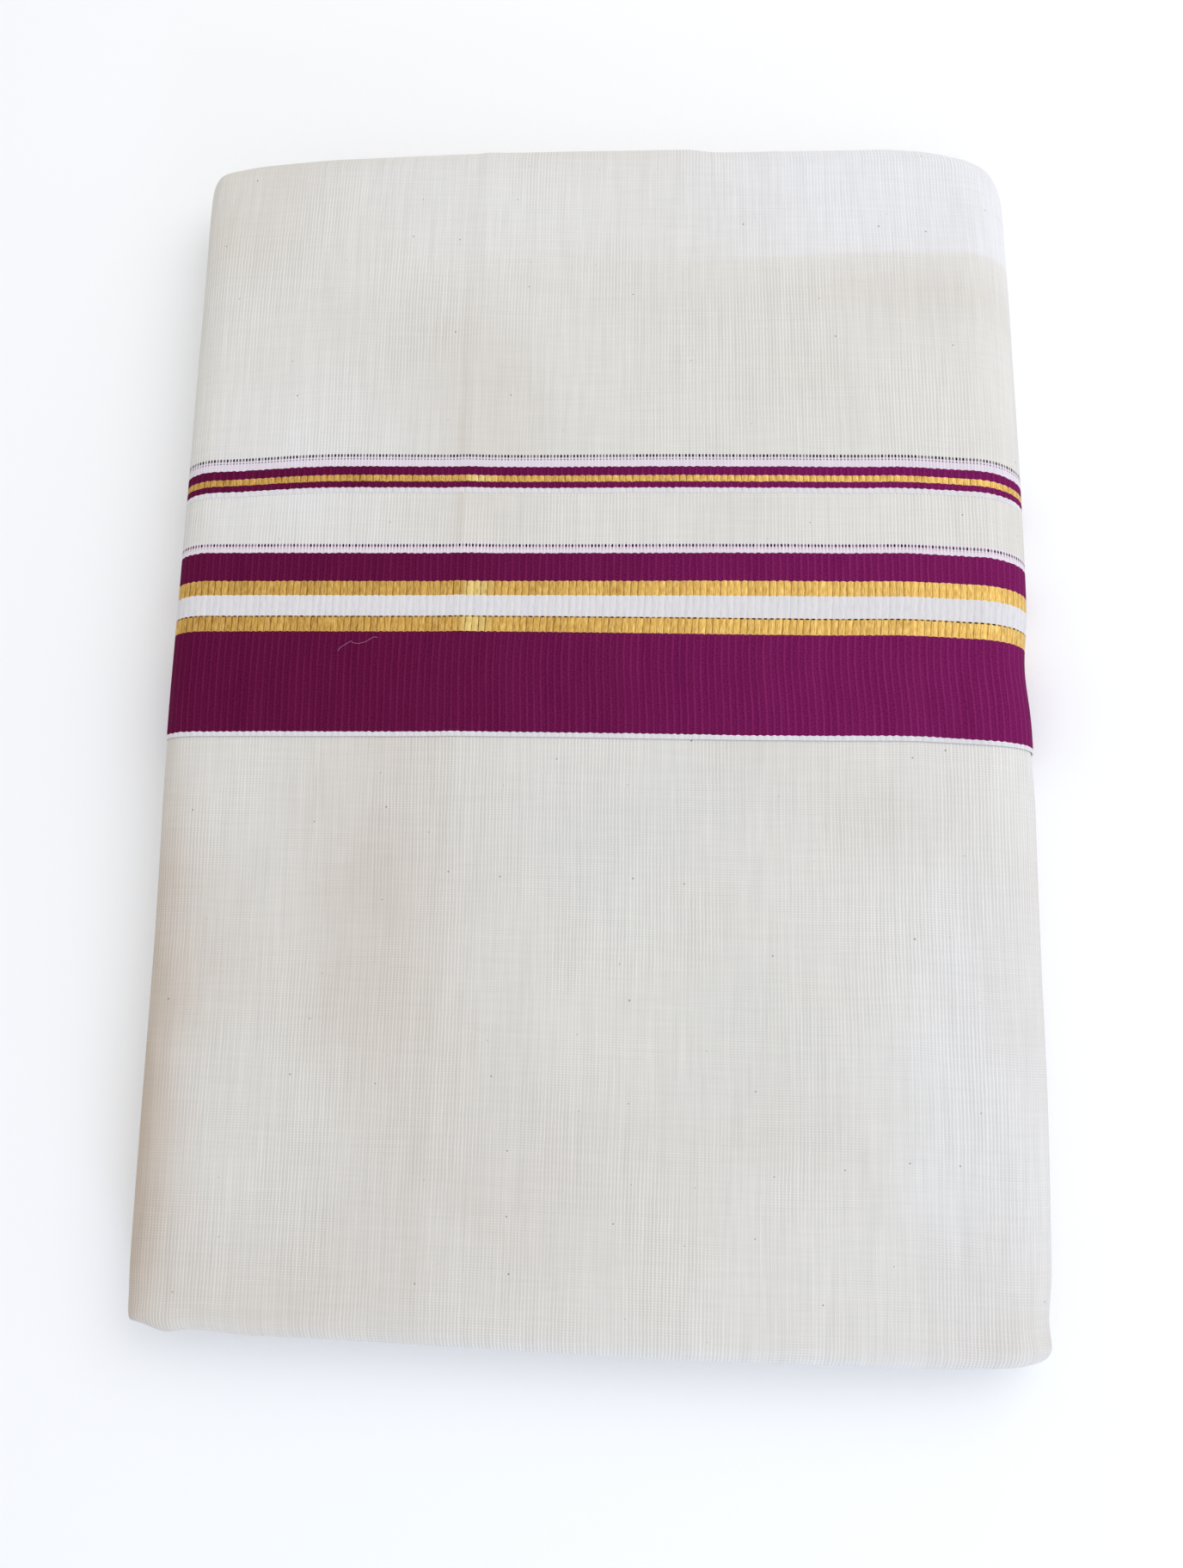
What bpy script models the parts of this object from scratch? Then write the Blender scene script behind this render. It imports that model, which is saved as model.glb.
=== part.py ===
"""Dhoti cloth, pressed and folded into a flat pack. Metres, +Z up.

The pack lies on the XY plane. +Y is the far fold and -Y is the near fold. At +X the
outer ply turns round the whole pack in one closed fold. At -X it turns round the upper
half of the pack and tucks in, and from below it turns round the lowest quarter.
Three solids: the outer ply as two thin walls, and the hidden plies in one core.
"""

import math

import bmesh
import bpy
from mathutils import Vector

# Pack sizes
HALF_WIDTH = 0.1260
FAR_Y = 0.1794
NEAR_Y = -0.1806
FAR_THICKNESS = 0.0250
NEAR_THICKNESS = 0.0205
SELVEDGE_Y = -0.0134
SELVEDGE_SLOPE = 0.0013

# The thickness changes under the selvedge, where the flap's plies end
RAMP_NEAR = -0.080
RAMP_FAR = 0.004

# Outline of the four sides: where each soft step runs and how far it goes inwards
FAR_STEPS = (
    {"start": 0.026, "stop": 0.036, "inward": 0.0011},
    {"start": 0.086, "stop": 0.116, "inward": 0.0042},
    {"start": -0.080, "stop": -0.118, "inward": 0.0022},
)
NEAR_STEPS = ({"start": 0.040, "stop": -0.100, "inward": 0.0022},)
LEFT_STEPS = ({"start": -0.020, "stop": -0.170, "inward": 0.0008},)
RIGHT_STEPS = (
    {"start": 0.040, "stop": 0.160, "inward": 0.0012},
    {"start": -0.100, "stop": -0.175, "inward": 0.0012},
)
RIGHT_WAIST = {"y": 0.009, "half": 0.012, "inward": 0.0014}
CORNERS = {
    "far_right": {"radius": 0.0130, "inward": 0.0140},
    "far_left": {"radius": 0.0080, "inward": 0.0055},
    "near_right": {"radius": 0.0090, "inward": 0.0065},
    "near_left": {"radius": 0.0075, "inward": 0.0048},
}

# The top sags toward both folds, most at the far right corner
FAR_SAG = {"start": 0.118, "stop": 0.186, "left": 0.0030, "right": 0.0060}
FAR_SAG_ACROSS = {"start": -0.040, "stop": 0.110}
NEAR_SAG = {"start": -0.115, "stop": -0.180, "depth": 0.0012}

# Cloth wall and the space between neighbours
WALL = 0.0012
GAP = 0.0003
COVER = WALL + 0.0007
LOW_COVER = COVER + 0.0006

# Depth in X of the rounded folds at the sides, and how far the ply tucks in
LEFT_ROUND = 0.0110
RIGHT_ROUND = 0.0160
LOW_ROUND = 0.0060
TUCK = 0.0060

# Rounding of the plies at the near and far folds
END_ROUND = 0.0050
END_DROP = 0.0025
END_LIFT = 0.0010
END_PULL = 0.0016

# The free edge of the flap stands proud of the panel that it lies on
FLAP_LIFT = 0.0008
FLAP_LIFT_LENGTH = 0.0500
LIFT_FROM = 0.55
LIFT_FULL = 0.98

# Layers at the edges: depth of the grooves at the ends, and inset of the left side
GROOVE = 0.0013
SIDE_GROOVE = 0.0026
SIDE_RIDGE = 0.0006
SIDE_CUT = 0.0014
SLOT = 0.0002

# The core stays clear of the walls where they curl in at the ends and corners
CORNER_CLEARANCE = 0.0008
CORNER_INSET = 0.0025
CORNER_REACH = 0.0200
CORE_ROUND = 0.0075
CORE_PULL = 0.0030

# Broad soft swells of the top: centre x, centre y, half width, half length, height
SWELLS = (
    {"x": -0.080, "y": 0.115, "wide": 0.045, "long": 0.035, "height": 0.0006},
    {"x": 0.055, "y": 0.085, "wide": 0.050, "long": 0.045, "height": 0.0007},
    {"x": -0.060, "y": -0.080, "wide": 0.040, "long": 0.050, "height": -0.0006},
    {"x": 0.010, "y": -0.115, "wide": 0.050, "long": 0.040, "height": 0.0006},
    {"x": 0.080, "y": -0.060, "wide": 0.040, "long": 0.050, "height": -0.0005},
)

# Steps along each zone of the section, from the left tuck round to the lower left tuck
TOP_STEPS = 12
ZONE_STEPS = (
    ("upper_tuck", 1),
    ("upper_left", 8),
    ("top", TOP_STEPS),
    ("right", 10),
    ("underside", 9),
    ("lower_left", 5),
    ("lower_tuck", 1),
)

# Rows: distances in from a folded end, and places along Y between the ends
WALL_END_STEPS = (0.0002, 0.0010, 0.0025, 0.0050, 0.0110)
CORE_END_STEPS = (0.0, 0.0015, 0.0040, 0.0110)
PANEL_PLACES = (-0.150, -0.122, -0.094, -0.066, -0.050, -0.038, -0.026)
FLAP_PLACES = (0.000, 0.014, 0.036, 0.066, 0.096, 0.118, 0.136, 0.152)
CORE_SIDE_COLUMNS = (0.0, 0.015, 0.045)

# Levels of the core: fraction of the height, extra height, inset at the two ends as
# a share of GROOVE, and the rule for its left side
CORE_LEVELS = (
    {"share": 0.0, "extra": COVER, "inset": 0.9, "left": "low_bulge"},
    {"share": 1 / 8, "extra": 0.0, "inset": 1.0, "left": "low_bulge"},
    {"share": 1 / 4, "extra": -COVER, "inset": 0.3, "left": "low_bulge"},
    {"share": 1 / 4, "extra": -COVER + SLOT, "inset": 0.35, "left": "low_slot"},
    {"share": 1 / 4, "extra": GAP, "inset": 0.9, "left": "low_slot"},
    {"share": 1 / 4, "extra": GAP + SLOT, "inset": 1.0, "left": "groove"},
    {"share": 5 / 16, "extra": -0.0004, "inset": 0.25, "left": "ridge"},
    {"share": 5 / 16, "extra": 0.0004, "inset": 0.25, "left": "ridge"},
    {"share": 3 / 8, "extra": 0.0, "inset": 1.0, "left": "groove"},
    {"share": 7 / 16, "extra": -0.0004, "inset": 0.1, "left": "cut_end"},
    {"share": 7 / 16, "extra": 0.0003, "inset": 0.1, "left": "cut_end"},
    {"share": 1 / 2, "extra": -GAP - SLOT, "inset": 0.9, "left": "groove"},
    {"share": 1 / 2, "extra": -GAP, "inset": 1.0, "left": "high_slot"},
    {"share": 1 / 2, "extra": COVER - SLOT, "inset": 0.15, "left": "high_slot"},
    {"share": 1 / 2, "extra": COVER, "inset": 0.1, "left": "high_bulge"},
    {"share": 5 / 8, "extra": 0.0, "inset": 1.0, "left": "high_bulge"},
    {"share": 11 / 16, "extra": -0.0004, "inset": 0.2, "left": "high_bulge"},
    {"share": 11 / 16, "extra": 0.0004, "inset": 0.2, "left": "high_bulge"},
    {"share": 3 / 4, "extra": 0.0, "inset": 1.0, "left": "high_bulge"},
    {"share": 13 / 16, "extra": -0.0005, "inset": 0.0, "left": "high_bulge"},
    {"share": 13 / 16, "extra": 0.0002, "inset": 0.1, "left": "high_bulge"},
    {"share": 7 / 8, "extra": -0.0002, "inset": 1.25, "left": "high_bulge"},
    {"share": 1.0, "extra": -COVER, "inset": 2.0, "left": "high_bulge"},
)

# Stretch of the far end where the second ply shows behind the outer one
SECOND_PLY_LEFT = -0.098
SECOND_PLY_RIGHT = 0.034
SECOND_PLY_FADE = 0.006
SECOND_PLY_OUT = 0.0010
SECOND_PLY_SHARE = 13 / 16

# Looks: linear colour and roughness
CREAM = (0.700, 0.675, 0.615)
CREAM_SHADE = (0.640, 0.610, 0.550)
ROUGHNESS = 0.86


def smooth(start, end, value):
    """0 before start, 1 after end, and a soft step between them."""
    t = min(1.0, max(0.0, (value - start) / (end - start)))
    return t * t * (3.0 - 2.0 * t)


def bump(value, centre, half_width):
    """Soft bump of height 1 round a centre."""
    return math.exp(-(((value - centre) / half_width) ** 2))


def quadrant(distance, radius):
    """1 at the end of a quarter round and 0 from its radius inwards."""
    q = min(1.0, max(0.0, 1.0 - distance / radius))
    return 1.0 - math.sqrt(1.0 - q * q)


def inward(value, steps):
    """Sum of the soft steps of one side's outline."""
    return sum(row["inward"] * smooth(row["start"], row["stop"], value) for row in steps)


def corner(name, distance):
    """How far a corner is rounded back at a distance from its side."""
    row = CORNERS[name]
    return row["inward"] * quadrant(distance, row["radius"])


def far_end(x):
    """Y of the far fold at x: nearly straight, with the right corner well rounded."""
    y = FAR_Y - inward(x, FAR_STEPS)
    return y - corner("far_right", HALF_WIDTH - x) - corner("far_left", x + HALF_WIDTH)


def near_end(x):
    """Y of the near fold at x: a little out of square, with small corners."""
    y = NEAR_Y + inward(x, NEAR_STEPS)
    return y + corner("near_right", HALF_WIDTH - x) + corner("near_left", x + HALF_WIDTH)


def left_edge(y):
    """X of the left side."""
    return -HALF_WIDTH + inward(y, LEFT_STEPS)


def right_edge(y):
    """X of the right side: drawn in above the selvedge and at both ends."""
    x = HALF_WIDTH - inward(y, RIGHT_STEPS)
    return x - RIGHT_WAIST["inward"] * bump(y, RIGHT_WAIST["y"], RIGHT_WAIST["half"])


def pressed_height(x, y):
    """Height of the pressed top before its ends are rounded."""
    ramp = smooth(RAMP_NEAR, RAMP_FAR, y)
    height = NEAR_THICKNESS + (FAR_THICKNESS - NEAR_THICKNESS) * ramp
    across = smooth(FAR_SAG_ACROSS["start"], FAR_SAG_ACROSS["stop"], x)
    sag = FAR_SAG["left"] + (FAR_SAG["right"] - FAR_SAG["left"]) * across
    height -= sag * smooth(FAR_SAG["start"], FAR_SAG["stop"], y)
    height -= NEAR_SAG["depth"] * smooth(NEAR_SAG["start"], NEAR_SAG["stop"], y)
    for row in SWELLS:
        swell = bump(x, row["x"], row["wide"]) * bump(y, row["y"], row["long"])
        height += row["height"] * swell
    return height


def end_share(x, y):
    """How far a point is round the near or far fold, 0 to 1."""
    return quadrant(far_end(x) - y, END_ROUND) + quadrant(y - near_end(x), END_ROUND)


def section_frame(x, y):
    """Base height and top height of the pack at x, y, ends rounded."""
    share = end_share(x, y)
    return END_LIFT * share, pressed_height(x, y) - END_DROP * share


def side_rounds(x, y):
    """X of the left and the right side, drawn in round the end folds."""
    pull = END_PULL * end_share(x, y)
    return left_edge(y) + pull, right_edge(y) - pull


def path_x(zone, t):
    """X of a point of the section before its side is drawn in."""
    left, right = -HALF_WIDTH, HALF_WIDTH
    angle = math.pi * (t - 0.5)
    if zone == "upper_tuck":
        return left + LEFT_ROUND + TUCK * (1.0 - t)
    if zone == "upper_left":
        return left + LEFT_ROUND * (1.0 - math.cos(angle))
    if zone == "top":
        start, end = left + LEFT_ROUND, right - RIGHT_ROUND
        return start + (end - start) * t
    if zone == "right":
        return right - RIGHT_ROUND * (1.0 - math.cos(angle))
    if zone == "underside":
        start, end = right - RIGHT_ROUND, left + LOW_ROUND
        return start + (end - start) * t
    if zone == "lower_left":
        return left + LOW_ROUND * (1.0 - math.cos(angle))
    return left + LOW_ROUND + TUCK * t


def outer_point(zone, t, y):
    """Point of the outer face of the ply at t along a zone of its section, at y."""
    x = path_x(zone, t)
    left, right = side_rounds(x, y)
    across = (x + HALF_WIDTH) / (2.0 * HALF_WIDTH)
    x = left + (right - left) * across
    angle = math.pi * (t - 0.5)
    if zone in ("upper_tuck", "upper_left"):
        base, top = section_frame(-HALF_WIDTH + LEFT_ROUND, y)
        quarter = (top - base) / 4.0
        rise = -1.0 if zone == "upper_tuck" else math.sin(angle)
        return Vector((x, y, base + quarter * (3.0 + rise)))
    if zone == "top":
        return Vector((x, y, section_frame(x, y)[1]))
    if zone == "right":
        base, top = section_frame(HALF_WIDTH - RIGHT_ROUND, y)
        half = (top - base) / 2.0
        return Vector((x, y, base + half * (1.0 - math.sin(angle))))
    base, top = section_frame(-HALF_WIDTH + LEFT_ROUND, y)
    if zone == "underside":
        return Vector((x, y, section_frame(x, y)[0]))
    eighth = (top - base) / 8.0
    rise = 1.0 if zone == "lower_tuck" else math.sin(angle)
    return Vector((x, y, base + eighth * (1.0 + rise)))


def stations():
    """Zone and place in it of each point along the section."""
    result = []
    for zone, steps in ZONE_STEPS:
        result.extend((zone, step / steps) for step in range(steps))
    result.append((ZONE_STEPS[-1][0], 1.0))
    return result


def rows_of(start_steps, places, end_steps):
    """Rows from one edge to the other: the edge that a row is measured from, and how far."""
    rows = [("start", step) for step in start_steps]
    rows += [("place", place) for place in places]
    return rows + [("end", -step) for step in reversed(end_steps)]


def row_y(x, row, start, end):
    """Y of a wall or core row at x between two edge functions."""
    origin, offset = row
    if origin == "start":
        return start(x) + offset
    return end(x) + offset if origin == "end" else offset


def lifted(point, zone, lift):
    """The flap's top stands a little proud near its selvedge."""
    if not lift or zone not in ("top", "upper_left", "right"):
        return point
    share = 1.0 - smooth(SELVEDGE_Y, SELVEDGE_Y + FLAP_LIFT_LENGTH, point.y)
    height = section_frame(point.x, point.y)[1]
    share *= smooth(LIFT_FROM, LIFT_FULL, point.z / height)
    return point + Vector((0.0, 0.0, lift * share))


def wall_grid(rows, start, end, lift):
    """Outer and inner points of a cloth wall, by section place and row."""
    step_t, step_y = 0.01, 0.0001
    outer, inner = [], []
    for zone, t in stations():
        x = path_x(zone, t)
        outer_line, inner_line = [], []
        for row in rows:
            y = row_y(x, row, start, end)
            point = lifted(outer_point(zone, t, y), zone, lift)
            t0, t1 = max(0.0, t - step_t), min(1.0, t + step_t)
            pair = []
            for step in (t0, t1):
                near_y = row_y(path_x(zone, step), row, start, end)
                pair.append(lifted(outer_point(zone, step, near_y), zone, lift))
            along = pair[1] - pair[0]
            before = lifted(outer_point(zone, t, y - step_y), zone, lift)
            after = lifted(outer_point(zone, t, y + step_y), zone, lift)
            normal = (after - before).cross(along).normalized()
            outer_line.append(point)
            inner_line.append(point + normal * WALL)
        outer.append(outer_line)
        inner.append(inner_line)
    return outer, inner


def make_object(name, mesh_data, colour):
    """Mesh object with its own material, shaded smooth."""
    points, faces = mesh_data
    mesh = bpy.data.meshes.new(name)
    mesh.from_pydata([tuple(p) for p in points], [], faces)
    work = bmesh.new()
    work.from_mesh(mesh)
    bmesh.ops.recalc_face_normals(work, faces=work.faces)
    work.to_mesh(mesh)
    work.free()
    mesh.shade_smooth()
    material = bpy.data.materials.new(name)
    material.use_nodes = True
    shader = material.node_tree.nodes["Principled BSDF"]
    shader.inputs["Base Color"].default_value = (*colour, 1.0)
    shader.inputs["Roughness"].default_value = ROUGHNESS
    shader.inputs["Metallic"].default_value = 0.0
    mesh.materials.append(material)
    item = bpy.data.objects.new(name, mesh)
    bpy.context.scene.collection.objects.link(item)
    return item


def wall_mesh(rows, start, end, lift):
    """Closed thin wall between the outer and the inner points."""
    outer, inner = wall_grid(rows, start, end, lift)
    columns, count = len(outer), len(rows)
    points = [p for line in outer for p in line]
    points += [p for line in inner for p in line]
    offset = columns * count
    faces = []
    for i in range(columns - 1):
        for j in range(count - 1):
            a, b = i * count + j, (i + 1) * count + j
            faces.append((a, b, b + 1, a + 1))
            faces.append((a + offset, a + 1 + offset, b + 1 + offset, b + offset))
    rim = [(i * count, (i + 1) * count) for i in range(columns - 1)]
    rim += [(i * count + count - 1, (i + 1) * count + count - 1) for i in range(columns - 1)]
    rim += [(j, j + 1) for j in range(count - 1)]
    last = (columns - 1) * count
    rim += [(last + j, last + j + 1) for j in range(count - 1)]
    faces += [(a, b, b + offset, a + offset) for a, b in rim]
    return points, faces


def core_left(rule, z, base, top):
    """Distance of the core's left side from the pack's left edge at height z."""
    height = top - base
    if rule == "low_bulge":
        radius = max(0.0001, height / 8.0 - COVER)
        rise = min(1.0, abs(z - base - height / 8.0) / radius)
        return LOW_ROUND - (LOW_ROUND - LOW_COVER) * math.sqrt(1.0 - rise * rise)
    if rule == "high_bulge":
        radius = height / 4.0 - COVER
        rise = min(1.0, abs(z - base - height * 0.75) / radius)
        return LEFT_ROUND - (LEFT_ROUND - COVER) * math.sqrt(1.0 - rise * rise)
    rules = {
        "low_slot": LOW_ROUND + TUCK + GAP,
        "high_slot": LEFT_ROUND + TUCK + GAP,
        "groove": SIDE_GROOVE,
        "ridge": SIDE_RIDGE,
        "cut_end": SIDE_CUT,
    }
    return rules[rule]


def core_right(z, base, top):
    """Distance of the core's right side from the pack's right edge at height z."""
    half = (top - base) / 2.0
    rise = min(1.0, abs(z - base - half) / (half - COVER))
    return RIGHT_ROUND - (RIGHT_ROUND - COVER) * math.sqrt(1.0 - rise * rise)


def core_inset(level, x):
    """How far a level of the core stays inside the pack's ends at x, far then near."""
    near = GROOVE * level["inset"] + GAP
    near += CORNER_INSET * smooth(HALF_WIDTH - CORNER_REACH, HALF_WIDTH, abs(x))
    far = near
    if level["share"] == SECOND_PLY_SHARE:
        shows = smooth(SECOND_PLY_LEFT - SECOND_PLY_FADE, SECOND_PLY_LEFT, x)
        shows *= 1.0 - smooth(SECOND_PLY_RIGHT, SECOND_PLY_RIGHT + SECOND_PLY_FADE, x)
        far -= (SECOND_PLY_OUT + GAP) * shows
    return far, near


def corner_share(x, y):
    """How far y is past the ends that the wall has at the side x, 0 to 1."""
    far = quadrant(far_end(x) - y, CORE_ROUND)
    return max(far, quadrant(y - near_end(x), CORE_ROUND))


def core_point(level, column, row):
    """Point of the core at a level, a column across and a row along."""
    x = -HALF_WIDTH + 2.0 * HALF_WIDTH * column
    for _ in range(4):
        far, near = core_inset(level, x)
        y = row_y(x, row, lambda v: near_end(v) + near, lambda v: far_end(v) - far)
        base, top = section_frame(-HALF_WIDTH + LEFT_ROUND, y)
        z = base + (top - base) * level["share"] + level["extra"]
        left_side = left_edge(y) + CORE_PULL * corner_share(-HALF_WIDTH, y)
        right_side = right_edge(y) - CORE_PULL * corner_share(HALF_WIDTH, y)
        left = left_side + core_left(level["left"], z, base, top)
        base, top = section_frame(HALF_WIDTH - RIGHT_ROUND, y)
        z = base + (top - base) * level["share"] + level["extra"]
        right = right_side - core_right(z, base, top)
        x = left + (right - left) * column
    base, top = section_frame(x, y)
    z = base + (top - base) * level["share"] + level["extra"]
    if level["share"] == 1.0:
        z -= CORNER_CLEARANCE * smooth(0.0, 0.5, end_share(x, y))
    return Vector((x, y, z))


def core_mesh():
    """Closed core: a grid below, a grid above and one band for each pair of levels."""
    places = PANEL_PLACES + (SELVEDGE_Y,) + FLAP_PLACES
    core_rows = rows_of(CORE_END_STEPS, places, CORE_END_STEPS)
    core_columns = list(CORE_SIDE_COLUMNS)
    core_columns += [step / TOP_STEPS for step in range(1, TOP_STEPS)]
    core_columns += [1.0 - share for share in reversed(CORE_SIDE_COLUMNS)]
    columns, rows = len(core_columns), len(core_rows)
    rim = [(i, 0) for i in range(columns - 1)]
    rim += [(columns - 1, j) for j in range(rows - 1)]
    rim += [(i, rows - 1) for i in range(columns - 1, 0, -1)]
    rim += [(0, j) for j in range(rows - 1, 0, -1)]
    points, faces = [], []
    loops = []
    for level in CORE_LEVELS:
        loops.append(len(points))
        for i, j in rim:
            points.append(core_point(level, core_columns[i], core_rows[j]))
    count = len(rim)
    for low, high in zip(loops, loops[1:]):
        for k in range(count):
            after = (k + 1) % count
            faces.append((low + k, low + after, high + after, high + k))
    for level, loop in ((CORE_LEVELS[0], loops[0]), (CORE_LEVELS[-1], loops[-1])):
        place = {spot: loop + k for k, spot in enumerate(rim)}
        for i in range(1, columns - 1):
            for j in range(1, rows - 1):
                place[(i, j)] = len(points)
                points.append(core_point(level, core_columns[i], core_rows[j]))
        for i in range(columns - 1):
            for j in range(rows - 1):
                corners = ((i, j), (i + 1, j), (i + 1, j + 1), (i, j + 1))
                faces.append(tuple(place[spot] for spot in corners))
    return points, faces


def selvedge(x):
    """Y of the flap's free edge."""
    return SELVEDGE_Y + SELVEDGE_SLOPE * x


def below_selvedge(x):
    """Y where the near panel comes out from the flap's edge."""
    return selvedge(x) - GAP


def main():
    """Build the three solids."""
    for item in list(bpy.data.objects):
        bpy.data.objects.remove(item, do_unlink=True)
    rows = rows_of((0.0,), FLAP_PLACES, WALL_END_STEPS)
    flap = wall_mesh(rows, selvedge, far_end, FLAP_LIFT)
    make_object("border_flap", flap, CREAM)
    rows = rows_of(WALL_END_STEPS, PANEL_PLACES, (0.0,))
    panel = wall_mesh(rows, near_end, below_selvedge, 0.0)
    make_object("near_panel", panel, CREAM)
    make_object("folded_layers", core_mesh(), CREAM_SHADE)


main()
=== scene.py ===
"""Folded dhoti cloth with a woven border, laid flat on a pale floor. Metres, +Z up.

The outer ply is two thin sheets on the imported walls: the bordered flap and the plain panel
under it. The hidden plies show as folded edges at the far, near and left sides.
"""

import math

import bmesh
import bpy
from bpy.props import FloatProperty, FloatVectorProperty, IntProperty, PointerProperty
from bpy.types import Operator, Panel, PropertyGroup
from mathutils import Euler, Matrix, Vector, noise


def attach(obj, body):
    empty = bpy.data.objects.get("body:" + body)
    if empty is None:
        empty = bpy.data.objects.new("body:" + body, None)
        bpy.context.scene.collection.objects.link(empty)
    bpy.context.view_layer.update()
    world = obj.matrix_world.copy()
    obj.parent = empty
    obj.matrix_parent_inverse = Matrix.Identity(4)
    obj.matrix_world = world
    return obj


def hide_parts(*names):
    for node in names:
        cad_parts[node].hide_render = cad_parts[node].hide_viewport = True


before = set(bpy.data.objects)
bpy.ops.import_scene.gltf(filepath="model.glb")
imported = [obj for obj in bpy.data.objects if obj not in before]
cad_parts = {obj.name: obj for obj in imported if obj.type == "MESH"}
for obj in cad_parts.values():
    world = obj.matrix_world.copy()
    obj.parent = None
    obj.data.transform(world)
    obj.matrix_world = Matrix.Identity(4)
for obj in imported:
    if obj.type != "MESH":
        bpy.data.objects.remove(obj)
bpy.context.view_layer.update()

bl_info = {
    "name": "Folded dhoti cloth",
    "version": (1, 0, 0),
    "blender": (4, 5, 0),
    "location": "3D View > Sidebar > Dhoti",
    "description": "Builds a pressed and folded dhoti cloth with its woven border",
    "category": "Add Mesh",
}


def table(columns, *rows):
    """Rows of numbers as dictionaries keyed by the names of their columns."""
    return tuple(dict(zip(columns.split(), row)) for row in rows)


BODY = "root"
CLOTH_MAP = "cloth"
MM = 0.001

# Pack sizes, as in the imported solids
HALF_WIDTH = 0.1260
FAR_Y = 0.1794
NEAR_Y = -0.1806
FAR_THICKNESS = 0.0250
NEAR_THICKNESS = 0.0205
SELVEDGE_Y = -0.0134
SELVEDGE_SLOPE = 0.0013
RAMP_NEAR = -0.080
RAMP_FAR = 0.004
FAR_STEPS = table(
    "start stop inward",
    (0.026, 0.036, 0.0011),
    (0.086, 0.116, 0.0042),
    (-0.080, -0.118, 0.0022),
)
NEAR_STEPS = table(
    "start stop inward",
    (0.040, -0.100, 0.0022),
)
LEFT_STEPS = table(
    "start stop inward",
    (-0.020, -0.170, 0.0008),
)
RIGHT_STEPS = table(
    "start stop inward",
    (0.040, 0.160, 0.0012),
    (-0.100, -0.175, 0.0012),
)
RIGHT_WAIST = {"y": 0.009, "half": 0.012, "inward": 0.0014}
CORNERS = {
    "far_right": {"radius": 0.0130, "inward": 0.0140},
    "far_left": {"radius": 0.0080, "inward": 0.0055},
    "near_right": {"radius": 0.0090, "inward": 0.0065},
    "near_left": {"radius": 0.0075, "inward": 0.0048},
}
FAR_SAG = {"start": 0.118, "stop": 0.186, "left": 0.0030, "right": 0.0060}
FAR_SAG_ACROSS = {"start": -0.040, "stop": 0.110}
NEAR_SAG = {"start": -0.115, "stop": -0.180, "depth": 0.0012}
LEFT_ROUND = 0.0110
RIGHT_ROUND = 0.0160
LOW_ROUND = 0.0060
TUCK = 0.0060
END_ROUND = 0.0050
END_DROP = 0.0025
END_LIFT = 0.0010
END_PULL = 0.0016
FLAP_LIFT = 0.00040
FLAP_LIFT_LENGTH = 0.0500
LIFT_FROM = 0.55
LIFT_FULL = 0.98
SWELLS = table(
    "x y wide long height",
    (-0.080, 0.115, 0.045, 0.035, 0.0006),
    (0.055, 0.085, 0.050, 0.045, 0.0007),
    (-0.060, -0.080, 0.040, 0.050, -0.0006),
    (0.010, -0.115, 0.050, 0.040, 0.0006),
    (0.080, -0.060, 0.040, 0.050, -0.0005),
)

# The weft leans a little: cloth length along the pack for one unit of Y, and its change
# with X, and how far the border is drawn down where it turns over the right side
WEFT_STRETCH = 1.0055
WEFT_LEAN = -0.2053
WRAP_DRAW = {"near": 0.0020, "start": 0.015, "whole": 0.075}

# How the flap's edge hangs toward the near side: along its right half, where the stripes
# past the widest one don't follow it, and at the right side, where they all do
EDGE_HANG = {"from": -0.045, "full": 0.070, "near": 0.0013, "fade": 0.029, "gone": 0.050}
SIDE_HANG = {"from": 0.085, "full": 0.121, "near": 0.0015}

# How the narrow stripes are drawn down toward the left side
LEFT_HANG = {"from": -0.075, "full": -0.122, "near": 0.0018, "start": 0.058, "whole": 0.074}

# Press creases that run along the pack: place, lean, height and the width of each flank
CREASE_POWER = 1.4
CREASES = table(
    "x lean height left right",
    (-0.0400, 0.020, 0.00048, 0.0026, 0.0058),
    (0.0550, -0.006, 0.00016, 0.0030, 0.0060),
    (-0.0920, 0.010, 0.00012, 0.0070, 0.0060),
)

# Long soft waves of the top: middle, turn from the X axis, half length, half width, height
WAVES = table(
    "x y turn long wide height",
    (0.040, 0.134, 5, 0.080, 0.0060, 0.00030),
    (-0.070, 0.150, -9, 0.050, 0.0090, -0.00018),
    (0.094, -0.064, 24, 0.036, 0.0080, -0.00028),
    (0.060, -0.100, 12, 0.050, 0.0100, 0.00022),
    (-0.030, -0.052, -6, 0.070, 0.0110, -0.00020),
    (-0.088, -0.120, 62, 0.048, 0.0100, 0.00024),
    (-0.016, -0.150, 8, 0.060, 0.0080, -0.00020),
    (0.090, 0.060, 80, 0.050, 0.0110, 0.00020),
    (0.110, -0.166, 48, 0.016, 0.0050, -0.00045),
    (0.117, -0.172, 40, 0.010, 0.0040, 0.00035),
    (-0.110, -0.170, -55, 0.014, 0.0040, -0.00035),
)

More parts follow.
